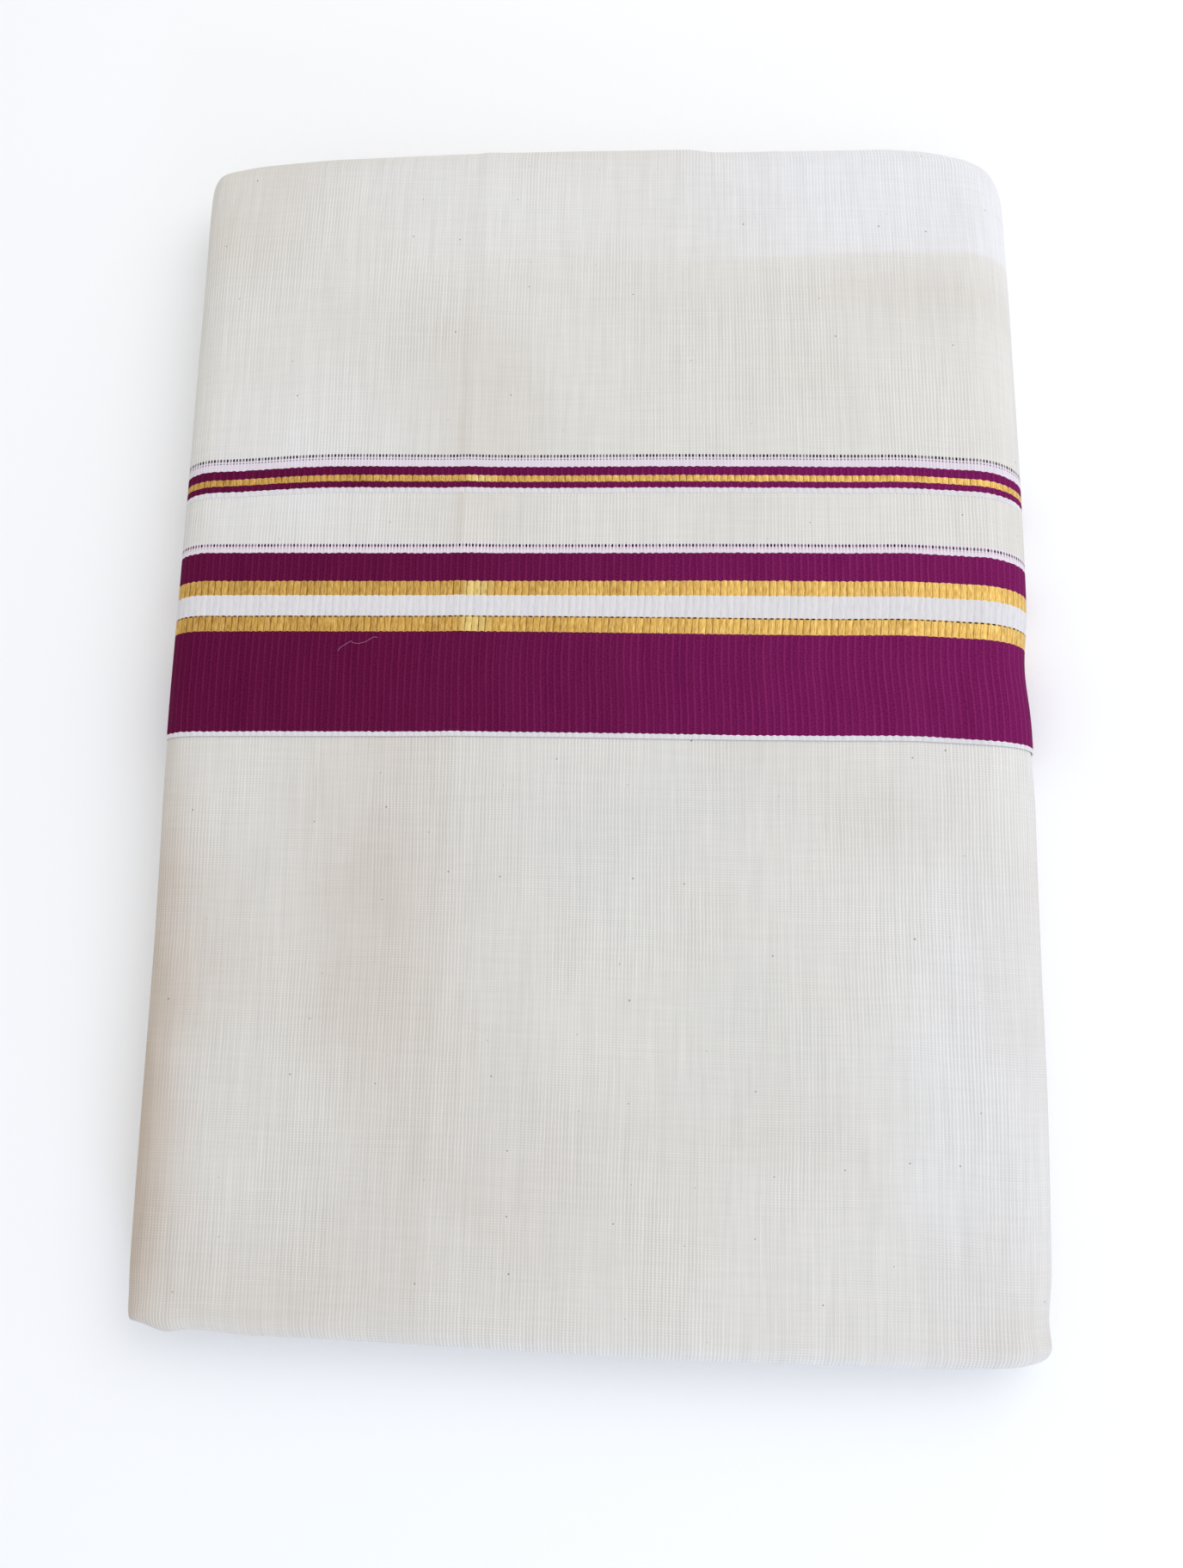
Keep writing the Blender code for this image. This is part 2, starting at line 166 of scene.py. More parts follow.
# Small lumps and notches of the outline: side, place along it, half width, how far out
EDGE_LUMPS = table(
    "side at half out",
    ("far", 0.1160, 0.0048, -0.0012),
    ("far", 0.1020, 0.0080, 0.0006),
    ("far", -0.1190, 0.0065, -0.0012),
    ("far", -0.0850, 0.0220, -0.0005),
    ("near", 0.1170, 0.0130, -0.0010),
    ("near", 0.1176, 0.0024, -0.0004),
    ("near", -0.1264, 0.0028, 0.0026),
    ("near", -0.1195, 0.0045, -0.0018),
    ("near", -0.1080, 0.0026, -0.0004),
    ("near", -0.1020, 0.0070, -0.0009),
    ("left", -0.1795, 0.0045, 0.0007),
    ("left", -0.1710, 0.0070, -0.0005),
    ("left", 0.1640, 0.0220, 0.0010),
    ("right", -0.1770, 0.0035, 0.0009),
    ("right", -0.1690, 0.0080, -0.0011),
)
LUMP_REACH = 0.012
LUMP_SIDES = (0.112, 0.124)

# Steps along each zone of the outer ply's section
ZONES = (
    ("upper_tuck", 4),
    ("upper_left", 24),
    ("top", 140),
    ("right", 36),
    ("underside", 64),
    ("lower_left", 14),
    ("lower_tuck", 4),
)

# Turned ends of the outer ply: angles of the rows, distances in of the last ones, cloth
# length of a row, and the places of the rows of the flap's own turned selvedge
FOLD_ANGLES = (30, 60, 90, 120, 150, 180)
FOLD_DISTANCES = (0.0006, 0.0015, 0.0030, 0.0050)
FOLD_STEP = 0.0004
END_ANGLES = (0, 15, 30, 45, 60, 72, 82)
SELVEDGE_ANGLES = (180, 135, 90, 45, 0)
SELVEDGE_DISTANCES = (0.0045, 0.0015, 0.0006)

# How the near panel sinks under the flap: at the sides, and a little at its edge
PANEL_UNDER = 0.0050
PANEL_SINK = {"depth": 0.00050, "from": 0.016, "full": 0.0015}
PANEL_DIP = {"depth": 0.00012, "from": 0.003, "full": -0.001}

# Strips of folded cloth from the top, 1, to the bottom, 16, in the order of the strand,
# and the left turns that join them: middle and reach in strips, centre X, depth, spread
STRIPS = 16
STRAND = (9, 8, 1, 16, 13, 4, 5, 12, 11, 6, 3, 14, 15, 2, 7, 10)
RIGHT_TURN = {"middle": 8.5, "reach": 8.0, "depth": RIGHT_ROUND, "spread": 0.0012}
UPPER_TURN = {"middle": 4.5, "reach": 4.0, "depth": LEFT_ROUND, "spread": 0.0014}
LOWER_TURN = {"middle": 14.5, "reach": 2.0, "depth": LOW_ROUND, "spread": 0.0014}
SMALL_TURN = {"middle": 11.5, "reach": 1.0, "depth": 0.0032, "spread": 0.0014}
SMALL_TURN_INSET = 0.0006
CUT_INSET = 0.0014
HIDDEN_DROP = 0.0005
RUN_ROWS = 52

# Edges of a strip at each end: middle and half depth in strips, radius of the fold,
# whether the outer ply's fold can close it, and what its seed adds
STRIP_EDGES = {
    "far": table(
        "middle half radius covered seed",
        (0.25, 0.235, 0.00027, True, 0),
        (-0.25, 0.235, 0.00027, False, 5),
    ),
    "near": table(
        "middle half radius covered seed",
        (1.0 / 6.0, 0.31, 0.00029, True, 11),
        (-1.0 / 3.0, 0.14, 0.00013, False, 17),
    ),
}

# Unevenness of the folds along the strand, and of the cut plies along the left side
FOLD_WANDER = {"slow": 4.3, "quick": 31.0, "quick_share": 0.25}
CUT_WANDER = {"slow": 30.0, "wander": 0.00045, "quick": 420.0, "fray": 0.00012}

# Left side: rows along it, and places of the four cut plies in their strip
SIDE_ROWS = 120
FAR_PLIES = (0.375, 0.125, -0.125, -0.375)
NEAR_PLIES = (0.45, 1.0 / 3.0, 0.0, -1.0 / 3.0)
CUT_PLY = {"half": 0.105, "radius": 0.00016, "straight": 0.0020}

# Second ply that shows behind the far fold
SECOND_PLY = {"strip": 3, "left": -0.098, "right": 0.034, "fade": 0.006, "out": 0.0022}

# Bands of the border: where each starts, in millimetres from the selvedge, and its yarn
BANDS = (
    (-0.20, "White"),
    (1.05, "Maroon"),
    (30.70, "Gold"),
    (35.55, "White"),
    (41.60, "Gold"),
    (46.20, "Maroon"),
    (54.65, "Pink"),
    (57.60, "Ground"),
    (73.60, "White"),
    (74.90, "Maroon"),
    (77.10, "Gold"),
    (78.75, "Maroon"),
    (81.70, "Lavender"),
    (84.60, "Ground"),
)
BAND_SPAN = 100.0

# Openwork rows and woven dashes: middle from the selvedge, half length, half width,
# pitch across, strength
DOT_ROWS = table(
    "along long wide pitch strength",
    (35.55, 0.24, 0.62, 1.7, 1.0),
    (56.25, 0.20, 0.26, 0.98, 0.42),
    (57.15, 0.56, 0.33, 0.98, 1.0),
    (73.45, 0.14, 0.30, 0.98, 0.16),
    (84.15, 0.26, 0.27, 0.98, 0.75),
    (85.20, 0.56, 0.33, 0.98, 1.0),
)

# Soft changes of tone, partly the cotton's own and partly painted light and shade: middle in
# millimetres, half width, half length, yarn tone, strength
PATCHES = (
    # Painted shade: the first two darken the left part and the left rim, where less light falls
    (-64, -58, 24, 66, "Tan", 0.42),
    (-127, -120, 15, 100, "Tan", 1.00),
    (-56, -160, 40, 30, "Tan", 0.24),
    (0, -40, 36, 34, "Grey", 0.50),
    (46, -92, 30, 30, "Grey", 0.45),
    (-104, -70, 20, 30, "Tan", 0.15),
    # Painted shade along the first crease
    (-40, 62, 1.3, 34, "Tan", 0.26),
    (-88, 66, 34, 34, "Pale", 0.35),
    (-30, 160, 60, 26, "Pale", 0.35),
    # Painted light: the far right, where the top bends down toward the light
    (84, 168, 56, 30, "Pale", 0.60),
    (104, -110, 24, 70, "Pale", 0.45),
    (92, 126, 44, 10, "Tan", 0.20),
    (86, -36, 18, 12, "Tan", 0.16),
    (48, -28, 22, 14, "Grey", 0.30),
)

# Edge of painted light at the far right, where the top bends down toward the light: place from
# the selvedge at the middle in millimetres, its slope, and where across the pack it starts to
# show and shows fully
PAINTED_LIGHT_EDGE = {"along": 148.1, "slope": 0.0535, "from": 5.0, "full": 85.0, "strength": 0.65}

# Loose thread that lies on the border
THREAD_SIDES = 6
THREAD_PLACES = (
    (-0.0742, 0.0121),
    (-0.0736, 0.0130),
    (-0.0728, 0.0136),
    (-0.0717, 0.0143),
    (-0.0705, 0.0151),
    (-0.0697, 0.0145),
    (-0.0683, 0.0143),
    (-0.0669, 0.0146),
    (-0.0658, 0.0150),
    (-0.0648, 0.0157),
    (-0.0638, 0.0163),
    (-0.0626, 0.0162),
)

# Surface of the cotton, and how the gold yarns differ from it
COTTON_ROUGHNESS = 0.9
COTTON_SPECULAR = 0.05
GOLD_METAL = 0.30
GOLD_SMOOTH = -0.45

# Camera and lights
CAMERA_PLACE = (0.03116, -0.10854, 0.40338)
CAMERA_TURN = (0.21221, 0.07592, 0.02032)
SENSOR = 36.0
CLIP_START = 0.01
LAMPS = table(
    "name place size colour",
    ("key", (0.58, 0.42, 0.90), 1.0, (1.0, 0.99, 0.98)),
    ("right", (1.10, 0.05, 0.30), 0.4, (0.44, 0.56, 1.0)),
    ("near", (0.35, -1.15, 0.30), 0.4, (0.50, 0.66, 1.0)),
)
LAMP_TARGET = (0.0, 0.0, 0.01)
FLOOR_HALF = 12.0
FLOOR_LEVEL = -0.0002
FLOOR_ROUGHNESS = 0.9
THREAD_ROUGHNESS = 0.8


def dye(red, green, blue):
    """Linear colour of a screen colour given from 0 to 255."""
    result = []
    for part in (red, green, blue):
        share = part / 255.0
        result.append(share / 12.92 if share <= 0.04045 else ((share + 0.055) / 1.055) ** 2.4)
    return tuple(result)


def length_setting(label, note, default):
    """Length in metres that a user may change."""
    return FloatProperty(
        name=label, description=note, default=default, unit="LENGTH", precision=5, min=0.0
    )


def colour_setting(label, note, default):
    """Colour that a user may change."""
    return FloatVectorProperty(
        name=label, description=note, default=default, subtype="COLOR", size=3, min=0.0, max=1.0
    )


def power_setting(label, note, default):
    """Strength of a light that a user may change."""
    return FloatProperty(name=label, description=note, default=default, min=0.0)


class ClothSizes(PropertyGroup):
    """Sizes of the cloth sheets and of their folded edges."""

    top_row: length_setting("Row", "Distance between two rows of the mesh", 0.0016)
    selvedge: length_setting("Selvedge", "Thickness of the flap's free edge", 0.0003)
    fold: length_setting("Fold", "Radius of the outer ply where it folds back", 0.00027)
    fold_return: length_setting("Return", "How far a ply goes back in after a fold", 0.008)
    setback: length_setting("Setback", "How far the hidden folds stay behind", 0.00120)
    uneven: length_setting("Uneven", "How much the hidden folds differ", 0.00075)
    thread: length_setting("Thread", "Radius of the loose thread", 0.00006)
    relief: FloatProperty(
        name="Relief", description="Strength of the creases and waves", default=1.0, min=0.0
    )
    seed: IntProperty(name="Seed", description="Start of the uneven edges", default=7, min=0)


class YarnColours(PropertyGroup):
    """Colours of the yarns, as linear values."""

    cream: colour_setting("Cream", "Unbleached cotton of the ground", dye(219, 216, 209))
    # Tan also serves as painted shade at the left side and along a crease
    tan: colour_setting("Tan", "Warmer patches of the ground", dye(196, 182, 168))
    grey: colour_setting("Grey", "Cooler patches of the ground", dye(212, 211, 206))
    # Pale also serves as painted light on the far and right parts, where the light falls
    pale: colour_setting("Pale", "Whiter patches of the ground", dye(228, 228, 231))
    white: colour_setting("White", "White stripes", dye(223, 220, 220))
    # Painted shade: the grooves of the white ribs
    white_deep: colour_setting("Deep white", "Grooves of the white ribs", dye(200, 197, 200))
    pink: colour_setting("Pink", "Ground beside the lower openwork", dye(225, 213, 220))
    lavender: colour_setting("Lavender", "Ground beside the upper openwork", dye(222, 212, 220))
    # Painted light and shade of the ribs: the crests are lighter and the grooves darker
    maroon: colour_setting("Maroon", "Crests of the ribs at the left", dye(108, 24, 68))
    maroon_deep: colour_setting("Deep maroon", "Grooves at the left", dye(76, 4, 44))
    # Painted light: the two right maroons are the same dye lit more strongly and more coolly at
    # the right, where the light falls
    maroon_cool: colour_setting("Cool maroon", "Crests at the right", dye(134, 36, 100))
    maroon_cool_deep: colour_setting("Cool deep maroon", "Grooves at the right",
                                     dye(98, 12, 68))
    gold: colour_setting("Gold", "Crests of the gold ribs", dye(222, 174, 88))
    # Painted highlight: glints on the metal gold yarns
    gold_light: colour_setting("Light gold", "Brightest gold yarns", dye(255, 232, 150))
    # Painted shade: the grooves between the gold ribs, also used for darker yarns
    gold_deep: colour_setting("Deep gold", "Grooves between the gold ribs", dye(126, 84, 34))
    hole: colour_setting("Openwork", "Small open places and dark dashes", dye(40, 10, 40))
    speck: colour_setting("Speck", "Bits of seed and thread in the cotton", dye(112, 98, 84))
    thread: colour_setting("Thread", "Loose thread on the border", dye(176, 122, 150))


class WeaveSizes(PropertyGroup):
    """Pitch and depth of the weave."""

    rib: FloatProperty(
        name="Rib", description="Pitch of the border's ribs in millimetres", default=2.0, min=0.1
    )
    warp: FloatProperty(
        name="Warp", description="Pitch of the ground's lines in millimetres",
        default=0.49, min=0.1,
    )
    weft: FloatProperty(
        name="Weft", description="Pitch of the threads across them in millimetres",
        default=0.71, min=0.1,
    )
    fine_depth: length_setting("Fine depth", "Relief of the ground's weave", 0.00002)
    rib_depth: length_setting("Rib depth", "Relief of the border's ribs", 0.00010)


class StageSettings(PropertyGroup):
    """Floor, lights and lens."""

    floor: colour_setting("Floor", "Colour of the floor", (0.97, 0.97, 0.97))
    sky: colour_setting("Sky", "Colour of the soft light all round", (0.97, 0.98, 1.0))
    sky_strength: power_setting("Sky strength", "Strength of the soft light", 0.78)
    key: power_setting("Key", "Power of the lamp at the far right", 4.6)
    right: power_setting("Right", "Power of the cool lamp at the right", 0.7)
    near: power_setting("Near", "Power of the cool lamp at the near side", 4.5)
    lens: FloatProperty(
        name="Lens", description="Focal length in millimetres", default=31.58, min=1.0
    )


def smooth(start, end, value):
    """0 before start, 1 after end, and a soft step between them."""
    t = min(1.0, max(0.0, (value - start) / (end - start)))
    return t * t * (3.0 - 2.0 * t)


def bump(value, centre, half_width):
    """Soft bump of height 1 round a centre."""
    return math.exp(-(((value - centre) / half_width) ** 2))


def quadrant(distance, radius):
    """1 at the end of a quarter round and 0 from its radius inwards."""
    q = min(1.0, max(0.0, 1.0 - distance / radius))
    return 1.0 - math.sqrt(1.0 - q * q)


def inward(value, steps):
    """Sum of the soft steps of one side's outline."""
    return sum(row["inward"] * smooth(row["start"], row["stop"], value) for row in steps)


def corner(name, distance):
    """How far a corner is rounded back at a distance from its side."""
    row = CORNERS[name]
    return row["inward"] * quadrant(distance, row["radius"])


def far_end(x):
    """Y of the far fold at x."""
    y = FAR_Y - inward(x, FAR_STEPS)
    return y - corner("far_right", HALF_WIDTH - x) - corner("far_left", x + HALF_WIDTH)


def near_end(x):
    """Y of the near fold at x."""
    y = NEAR_Y + inward(x, NEAR_STEPS)
    return y + corner("near_right", HALF_WIDTH - x) + corner("near_left", x + HALF_WIDTH)


def left_edge(y):
    """X of the left side."""
    return -HALF_WIDTH + inward(y, LEFT_STEPS)


def right_edge(y):
    """X of the right side."""
    x = HALF_WIDTH - inward(y, RIGHT_STEPS)
    return x - RIGHT_WAIST["inward"] * bump(y, RIGHT_WAIST["y"], RIGHT_WAIST["half"])


def pressed_height(x, y):
    """Height of the pressed top before its ends are rounded."""
    ramp = smooth(RAMP_NEAR, RAMP_FAR, y)
    height = NEAR_THICKNESS + (FAR_THICKNESS - NEAR_THICKNESS) * ramp
    across = smooth(FAR_SAG_ACROSS["start"], FAR_SAG_ACROSS["stop"], x)
    sag = FAR_SAG["left"] + (FAR_SAG["right"] - FAR_SAG["left"]) * across
    height -= sag * smooth(FAR_SAG["start"], FAR_SAG["stop"], y)
    height -= NEAR_SAG["depth"] * smooth(NEAR_SAG["start"], NEAR_SAG["stop"], y)
    for row in SWELLS:
        swell = bump(x, row["x"], row["wide"]) * bump(y, row["y"], row["long"])
        height += row["height"] * swell
    return height


def end_share(x, y):
    """How far a point is round the near or far fold, 0 to 1."""
    return quadrant(far_end(x) - y, END_ROUND) + quadrant(y - near_end(x), END_ROUND)


def section_frame(x, y):
    """Base height and top height of the pack at x, y, ends rounded."""
    share = end_share(x, y)
    return END_LIFT * share, pressed_height(x, y) - END_DROP * share


def side_rounds(x, y):
    """X of the left and the right side, drawn in round the end folds."""
    pull = END_PULL * end_share(x, y)
    return left_edge(y) + pull, right_edge(y) - pull


def path_x(zone, t):
    """X of a point of the section before its side is drawn in."""
    left, right = -HALF_WIDTH, HALF_WIDTH
    angle = math.pi * (t - 0.5)
    if zone == "upper_tuck":
        return left + LEFT_ROUND + TUCK * (1.0 - t)
    if zone == "upper_left":
        return left + LEFT_ROUND * (1.0 - math.cos(angle))
    if zone == "top":
        start, end = left + LEFT_ROUND, right - RIGHT_ROUND
        return start + (end - start) * t
    if zone == "right":
        return right - RIGHT_ROUND * (1.0 - math.cos(angle))
    if zone == "underside":
        start, end = right - RIGHT_ROUND, left + LOW_ROUND
        return start + (end - start) * t
    if zone == "lower_left":
        return left + LOW_ROUND * (1.0 - math.cos(angle))
    return left + LOW_ROUND + TUCK * t


def outer_point(zone, t, y):
    """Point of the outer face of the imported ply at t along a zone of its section, at y."""
    x = path_x(zone, t)
    left, right = side_rounds(x, y)
    across = (x + HALF_WIDTH) / (2.0 * HALF_WIDTH)
    x = left + (right - left) * across
    angle = math.pi * (t - 0.5)
    if zone in ("upper_tuck", "upper_left"):
        base, top = section_frame(-HALF_WIDTH + LEFT_ROUND, y)
        quarter = (top - base) / 4.0
        rise = -1.0 if zone == "upper_tuck" else math.sin(angle)
        return Vector((x, y, base + quarter * (3.0 + rise)))
    if zone == "top":
        return Vector((x, y, section_frame(x, y)[1]))
    if zone == "right":
        base, top = section_frame(HALF_WIDTH - RIGHT_ROUND, y)
        half = (top - base) / 2.0
        return Vector((x, y, base + half * (1.0 - math.sin(angle))))
    base, top = section_frame(-HALF_WIDTH + LEFT_ROUND, y)
    if zone == "underside":
        return Vector((x, y, section_frame(x, y)[0]))
    eighth = (top - base) / 8.0
    rise = 1.0 if zone == "lower_tuck" else math.sin(angle)
    return Vector((x, y, base + eighth * (1.0 + rise)))


def edge_hang(x):
    """How far the flap's edge hangs below its straight line on the right half."""
    return EDGE_HANG["near"] * smooth(EDGE_HANG["from"], EDGE_HANG["full"], x)


def selvedge(x):
    """Y of the flap's free edge."""
    side = SIDE_HANG["near"] * smooth(SIDE_HANG["from"], SIDE_HANG["full"], x)
    return SELVEDGE_Y + SELVEDGE_SLOPE * x - edge_hang(x) - side


def cloth_along(x, y, draw=0.0):
    """Length along the cloth from the selvedge at x, y, on the cloth's own leaning weft."""
    distance = y - selvedge(x)
    along = distance / (WEFT_STRETCH + WEFT_LEAN * x)
    along -= edge_hang(x) * smooth(EDGE_HANG["fade"], EDGE_HANG["gone"], distance)
    left = LEFT_HANG["near"] * smooth(LEFT_HANG["from"], LEFT_HANG["full"], x)
    along += left * smooth(LEFT_HANG["start"], LEFT_HANG["whole"], distance)
    wrap = WRAP_DRAW["near"] * draw
    return along + wrap * smooth(WRAP_DRAW["start"], WRAP_DRAW["whole"], along)


def wrap_draw(zone, t):
    """How far the border is drawn down at a place of the outer ply's section, 0 to 1."""
    if zone == "right":
        return smooth(0.0, 0.55, t)
    if zone == "upper_left":
        return 0.5 * (1.0 - smooth(0.45, 1.0, t))
    return 1.0 - smooth(0.0, 0.5, t) if zone == "underside" else 0.0


def relief(x, y):
    """Height of the creases and waves of the top at x, y."""
    height = 0.0
    for row in CREASES:
        offset = x - row["x"] - row["lean"] * y
        width = row["left"] if offset < 0.0 else row["right"]
        height += row["height"] * math.exp(-abs(offset / width) ** CREASE_POWER)
    for row in WAVES:
        turn = math.radians(row["turn"])
        dx, dy = x - row["x"], y - row["y"]
        along = dx * math.cos(turn) + dy * math.sin(turn)
        beside = dy * math.cos(turn) - dx * math.sin(turn)
        height += row["height"] * bump(along, 0.0, row["long"]) * bump(beside, 0.0, row["wide"])
    return height


def shape_edge(point, y):
    """Shift a point of the cloth by the small lumps of the outline."""
    for row in EDGE_LUMPS:
        if row["side"] in ("left", "right"):
            out = 1.0 if row["side"] == "right" else -1.0
            share = bump(y, row["at"], row["half"]) * smooth(*LUMP_SIDES, point.x * out)
            point.x += row["out"] * share * out
            continue
        far = row["side"] == "far"
        inside_by = far_end(point.x) - y if far else y - near_end(point.x)
        share = bump(point.x, row["at"], row["half"]) * smooth(LUMP_REACH, 0.0, inside_by)
        point.y += row["out"] * share * (1.0 if far else -1.0)
    return point


def top_share(point, zone):
    """1 on the flat top, fading to 0 down the rounded sides."""
    if zone not in ("top", "upper_left", "right"):
        return 0.0
    return smooth(LIFT_FROM, LIFT_FULL, point.z / section_frame(point.x, point.y)[1])


def flap_face(zone, t, y):
    """Point of the flap's outer face: it stands proud near its selvedge."""
    point = outer_point(zone, t, y)
    share = top_share(point, zone)
    lift = FLAP_LIFT * (1.0 - smooth(SELVEDGE_Y, SELVEDGE_Y + FLAP_LIFT_LENGTH, y))
    strength = bpy.context.scene.dhoti_sizes.relief
    point.z += share * (lift + strength * relief(point.x, y))
    return shape_edge(point, y)


def panel_face(zone, t, y):
    """Point of the near panel's outer face, with the creases and waves of the top."""
    point = outer_point(zone, t, y)
    strength = bpy.context.scene.dhoti_sizes.relief
    point.z += top_share(point, zone) * strength * relief(point.x, y)
    return shape_edge(point, y)


def inside(face, zone, t, y, depth):
    """Point at a depth under a face of the outer ply."""
    step_t, step_y = 0.01, 0.00002
    point = face(zone, t, y)
    t0, t1 = max(0.0, t - step_t), min(1.0, t + step_t)
    along = face(zone, t1, y) - face(zone, t0, y)
    across = face(zone, t, y + step_y) - face(zone, t, y - step_y)
    return point + across.cross(along).normalized() * depth


def zone_stations():
    """Zone and place in it of each column of the outer ply."""
    result = []
    for zone, steps in ZONES:
        result.extend((zone, step / steps) for step in range(steps))
    result.append((ZONES[-1][0], 1.0))
    return result


def station_lengths(stations):
    """Cloth length at each station, measured along the section and equal to X on the top."""
    y = 0.060
    points = [outer_point(zone, t, y) for zone, t in stations]
    lengths = [0.0]
    for before, after in zip(points, points[1:]):
        lengths.append(lengths[-1] + (after - before).length)
    start = next(i for i, (zone, _) in enumerate(stations) if zone == "top")
    shift = points[start].x - lengths[start]
    return [value + shift for value in lengths]


def end_distances():
    """Distances from a fold at which its quarter round is cut into rows."""
    return [END_ROUND * (1.0 - math.sin(math.radians(angle))) for angle in END_ANGLES]


def turn_rows(face, zone, t, y_end, out, radius, reach):
    """Rows that fold a ply back under itself at an end: a half round, then the return."""
    tip = face(zone, t, y_end)
    inner = inside(face, zone, t, y_end - out * END_ROUND, 1.0)
    down = (inner - face(zone, t, y_end - out * END_ROUND)).normalized()
    along = Vector((0.0, out, 0.0))
    points = []
    for angle in FOLD_ANGLES:
        turn = math.radians(angle)
        offset = along * (radius * (math.cos(turn) - 1.0)) + down * (radius * math.sin(turn))
        points.append(tip + offset)
    for distance in (*FOLD_DISTANCES, reach):
        points.append(inside(face, zone, t, y_end - out * distance, 2.0 * radius))
    return points


def cloth_mesh(name, grids):
    """Mesh of one or more grids of points, each with its cloth map."""
    points, faces, places = [], [], []
    for grid in grids:
        rows = len(grid[0])
        start = len(points)
        for column in grid:
            for point, place in column:
                points.append(tuple(point))
                places.append(place)
        for i in range(len(grid) - 1):
            for j in range(rows - 1):
                a = start + i * rows + j
                faces.append((a, a + rows, a + rows + 1, a + 1))
    mesh = bpy.data.meshes.new(name)
    mesh.from_pydata(points, [], faces)
    layer = mesh.uv_layers.new(name=CLOTH_MAP)
    corners = [0] * len(mesh.loops)
    mesh.loops.foreach_get("vertex_index", corners)
    values = []
    for index in corners:
        values.extend(places[index])
    layer.data.foreach_set("uv", values)
    work = bmesh.new()
    work.from_mesh(mesh)
    bmesh.ops.recalc_face_normals(work, faces=work.faces)
    work.to_mesh(mesh)
    work.free()
    mesh.shade_smooth()
    return mesh


def add_cloth(name, grids, material, replaced):
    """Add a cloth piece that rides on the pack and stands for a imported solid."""
    mesh = cloth_mesh(name, grids)
    mesh.materials.append(material)
    item = bpy.data.objects.new(name, mesh)
    bpy.context.scene.collection.objects.link(item)
    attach(item, BODY)
    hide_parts(replaced)


def flap_grid(sizes):
    """Points of the bordered flap, from the turned selvedge to the far fold and back in."""
    stations = zone_stations()
    lengths = station_lengths(stations)
    grid = []
    for (zone, t), across in zip(stations, lengths):
        x = path_x(zone, t)
        draw = wrap_draw(zone, t)
        start, end = selvedge(x), far_end(x)
        half = sizes.selvedge / 2.0
        column = []
        for distance in SELVEDGE_DISTANCES:
            y = start + distance
            column.append((inside(flap_face, zone, t, y, sizes.selvedge), (across, 0.0)))
        edge = flap_face(zone, t, start + half)
        down = (inside(flap_face, zone, t, start + half, 1.0) - edge).normalized()
        for angle in SELVEDGE_ANGLES:
            turn = math.radians(angle)
            point = edge + down * half * (1.0 - math.cos(turn))
            point.y -= half * math.sin(turn)
            column.append((point, (across, half - half * math.sin(turn))))
        count = round((end - END_ROUND - start) / sizes.top_row)
        for step in range(1, count):
            y = start + half + (end - END_ROUND - start - half) * step / count
            column.append((flap_face(zone, t, y), (across, cloth_along(x, y, draw))))
        for distance in end_distances():
            y = end - distance
            column.append((flap_face(zone, t, y), (across, cloth_along(x, y, draw))))
        column.append((flap_face(zone, t, end), (across, cloth_along(x, end, draw))))
        back = turn_rows(flap_face, zone, t, end, 1.0, sizes.fold, sizes.fold_return)
        for step, point in enumerate(back):
            along = cloth_along(x, end, draw) + FOLD_STEP * (step + 1)
            column.append((point, (across, along)))
        grid.append(column)
    return even_columns(grid)


def even_columns(grid):
    """Give every column of a grid the same number of rows, taken along its length."""
    rows = max(len(column) for column in grid)
    result = []
    for column in grid:
        if len(column) == rows:
            result.append(column)
            continue
        steps = [step * (len(column) - 1) / (rows - 1) for step in range(rows)]
        line = []
        for step in steps:
            low = min(int(step), len(column) - 2)
            share = step - low
            (p0, m0), (p1, m1) = column[low], column[low + 1]
            place = tuple(a + (b - a) * share for a, b in zip(m0, m1))
            line.append((p0.lerp(p1, share), place))
        result.append(line)
    return result


def panel_depth(zone, point, distance):
    """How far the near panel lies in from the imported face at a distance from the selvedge."""
    side = 1.0 - top_share(point, zone)
    sunk = PANEL_SINK["depth"] * side * smooth(PANEL_SINK["from"], PANEL_SINK["full"], distance)
    return sunk + PANEL_DIP["depth"] * smooth(PANEL_DIP["from"], PANEL_DIP["full"], distance)


def panel_grid(sizes):
    """Points of the plain panel, from its near fold to just under the flap's edge."""
    stations = zone_stations()
    lengths = station_lengths(stations)
    grid = []
    for (zone, t), across in zip(stations, lengths):
        x = path_x(zone, t)
        start, end = near_end(x), selvedge(x) + PANEL_UNDER
        column = []
        back = turn_rows(panel_face, zone, t, start, -1.0, sizes.fold, sizes.fold_return)
        for step, point in enumerate(back):
            place = (across, start - selvedge(x) - FOLD_STEP * (step + 1))
            column.insert(0, (point, place))
        column.append((panel_face(zone, t, start), (across, start - selvedge(x))))
        for distance in reversed(end_distances()):
            y = start + distance
            column.append((panel_face(zone, t, y), (across, y - selvedge(x))))
        first = start + END_ROUND
        count = round((end - first) / sizes.top_row)
        for step in range(1, count + 1):
            y = first + (end - first) * step / count
            point = panel_face(zone, t, y)
            depth = panel_depth(zone, point, selvedge(x) - y)
            if depth > 0.0:
                point = inside(panel_face, zone, t, y, depth)
            column.append((point, (across, y - selvedge(x))))
        grid.append(column)
    return even_columns(grid)


def left_turn(strip):
    """Left turn that a strip goes into, or none for the two cut ends."""
    for turn in (UPPER_TURN, LOWER_TURN, SMALL_TURN):
        if abs(strip - turn["middle"]) < turn["reach"]:
            return turn
    return None


def turn_centre(turn):
    """X about which a turn of the strand goes round."""
    if turn is RIGHT_TURN:
        return HALF_WIDTH - RIGHT_ROUND
    inset = SMALL_TURN_INSET if turn is SMALL_TURN else 0.0
    return -HALF_WIDTH + inset + turn["depth"]


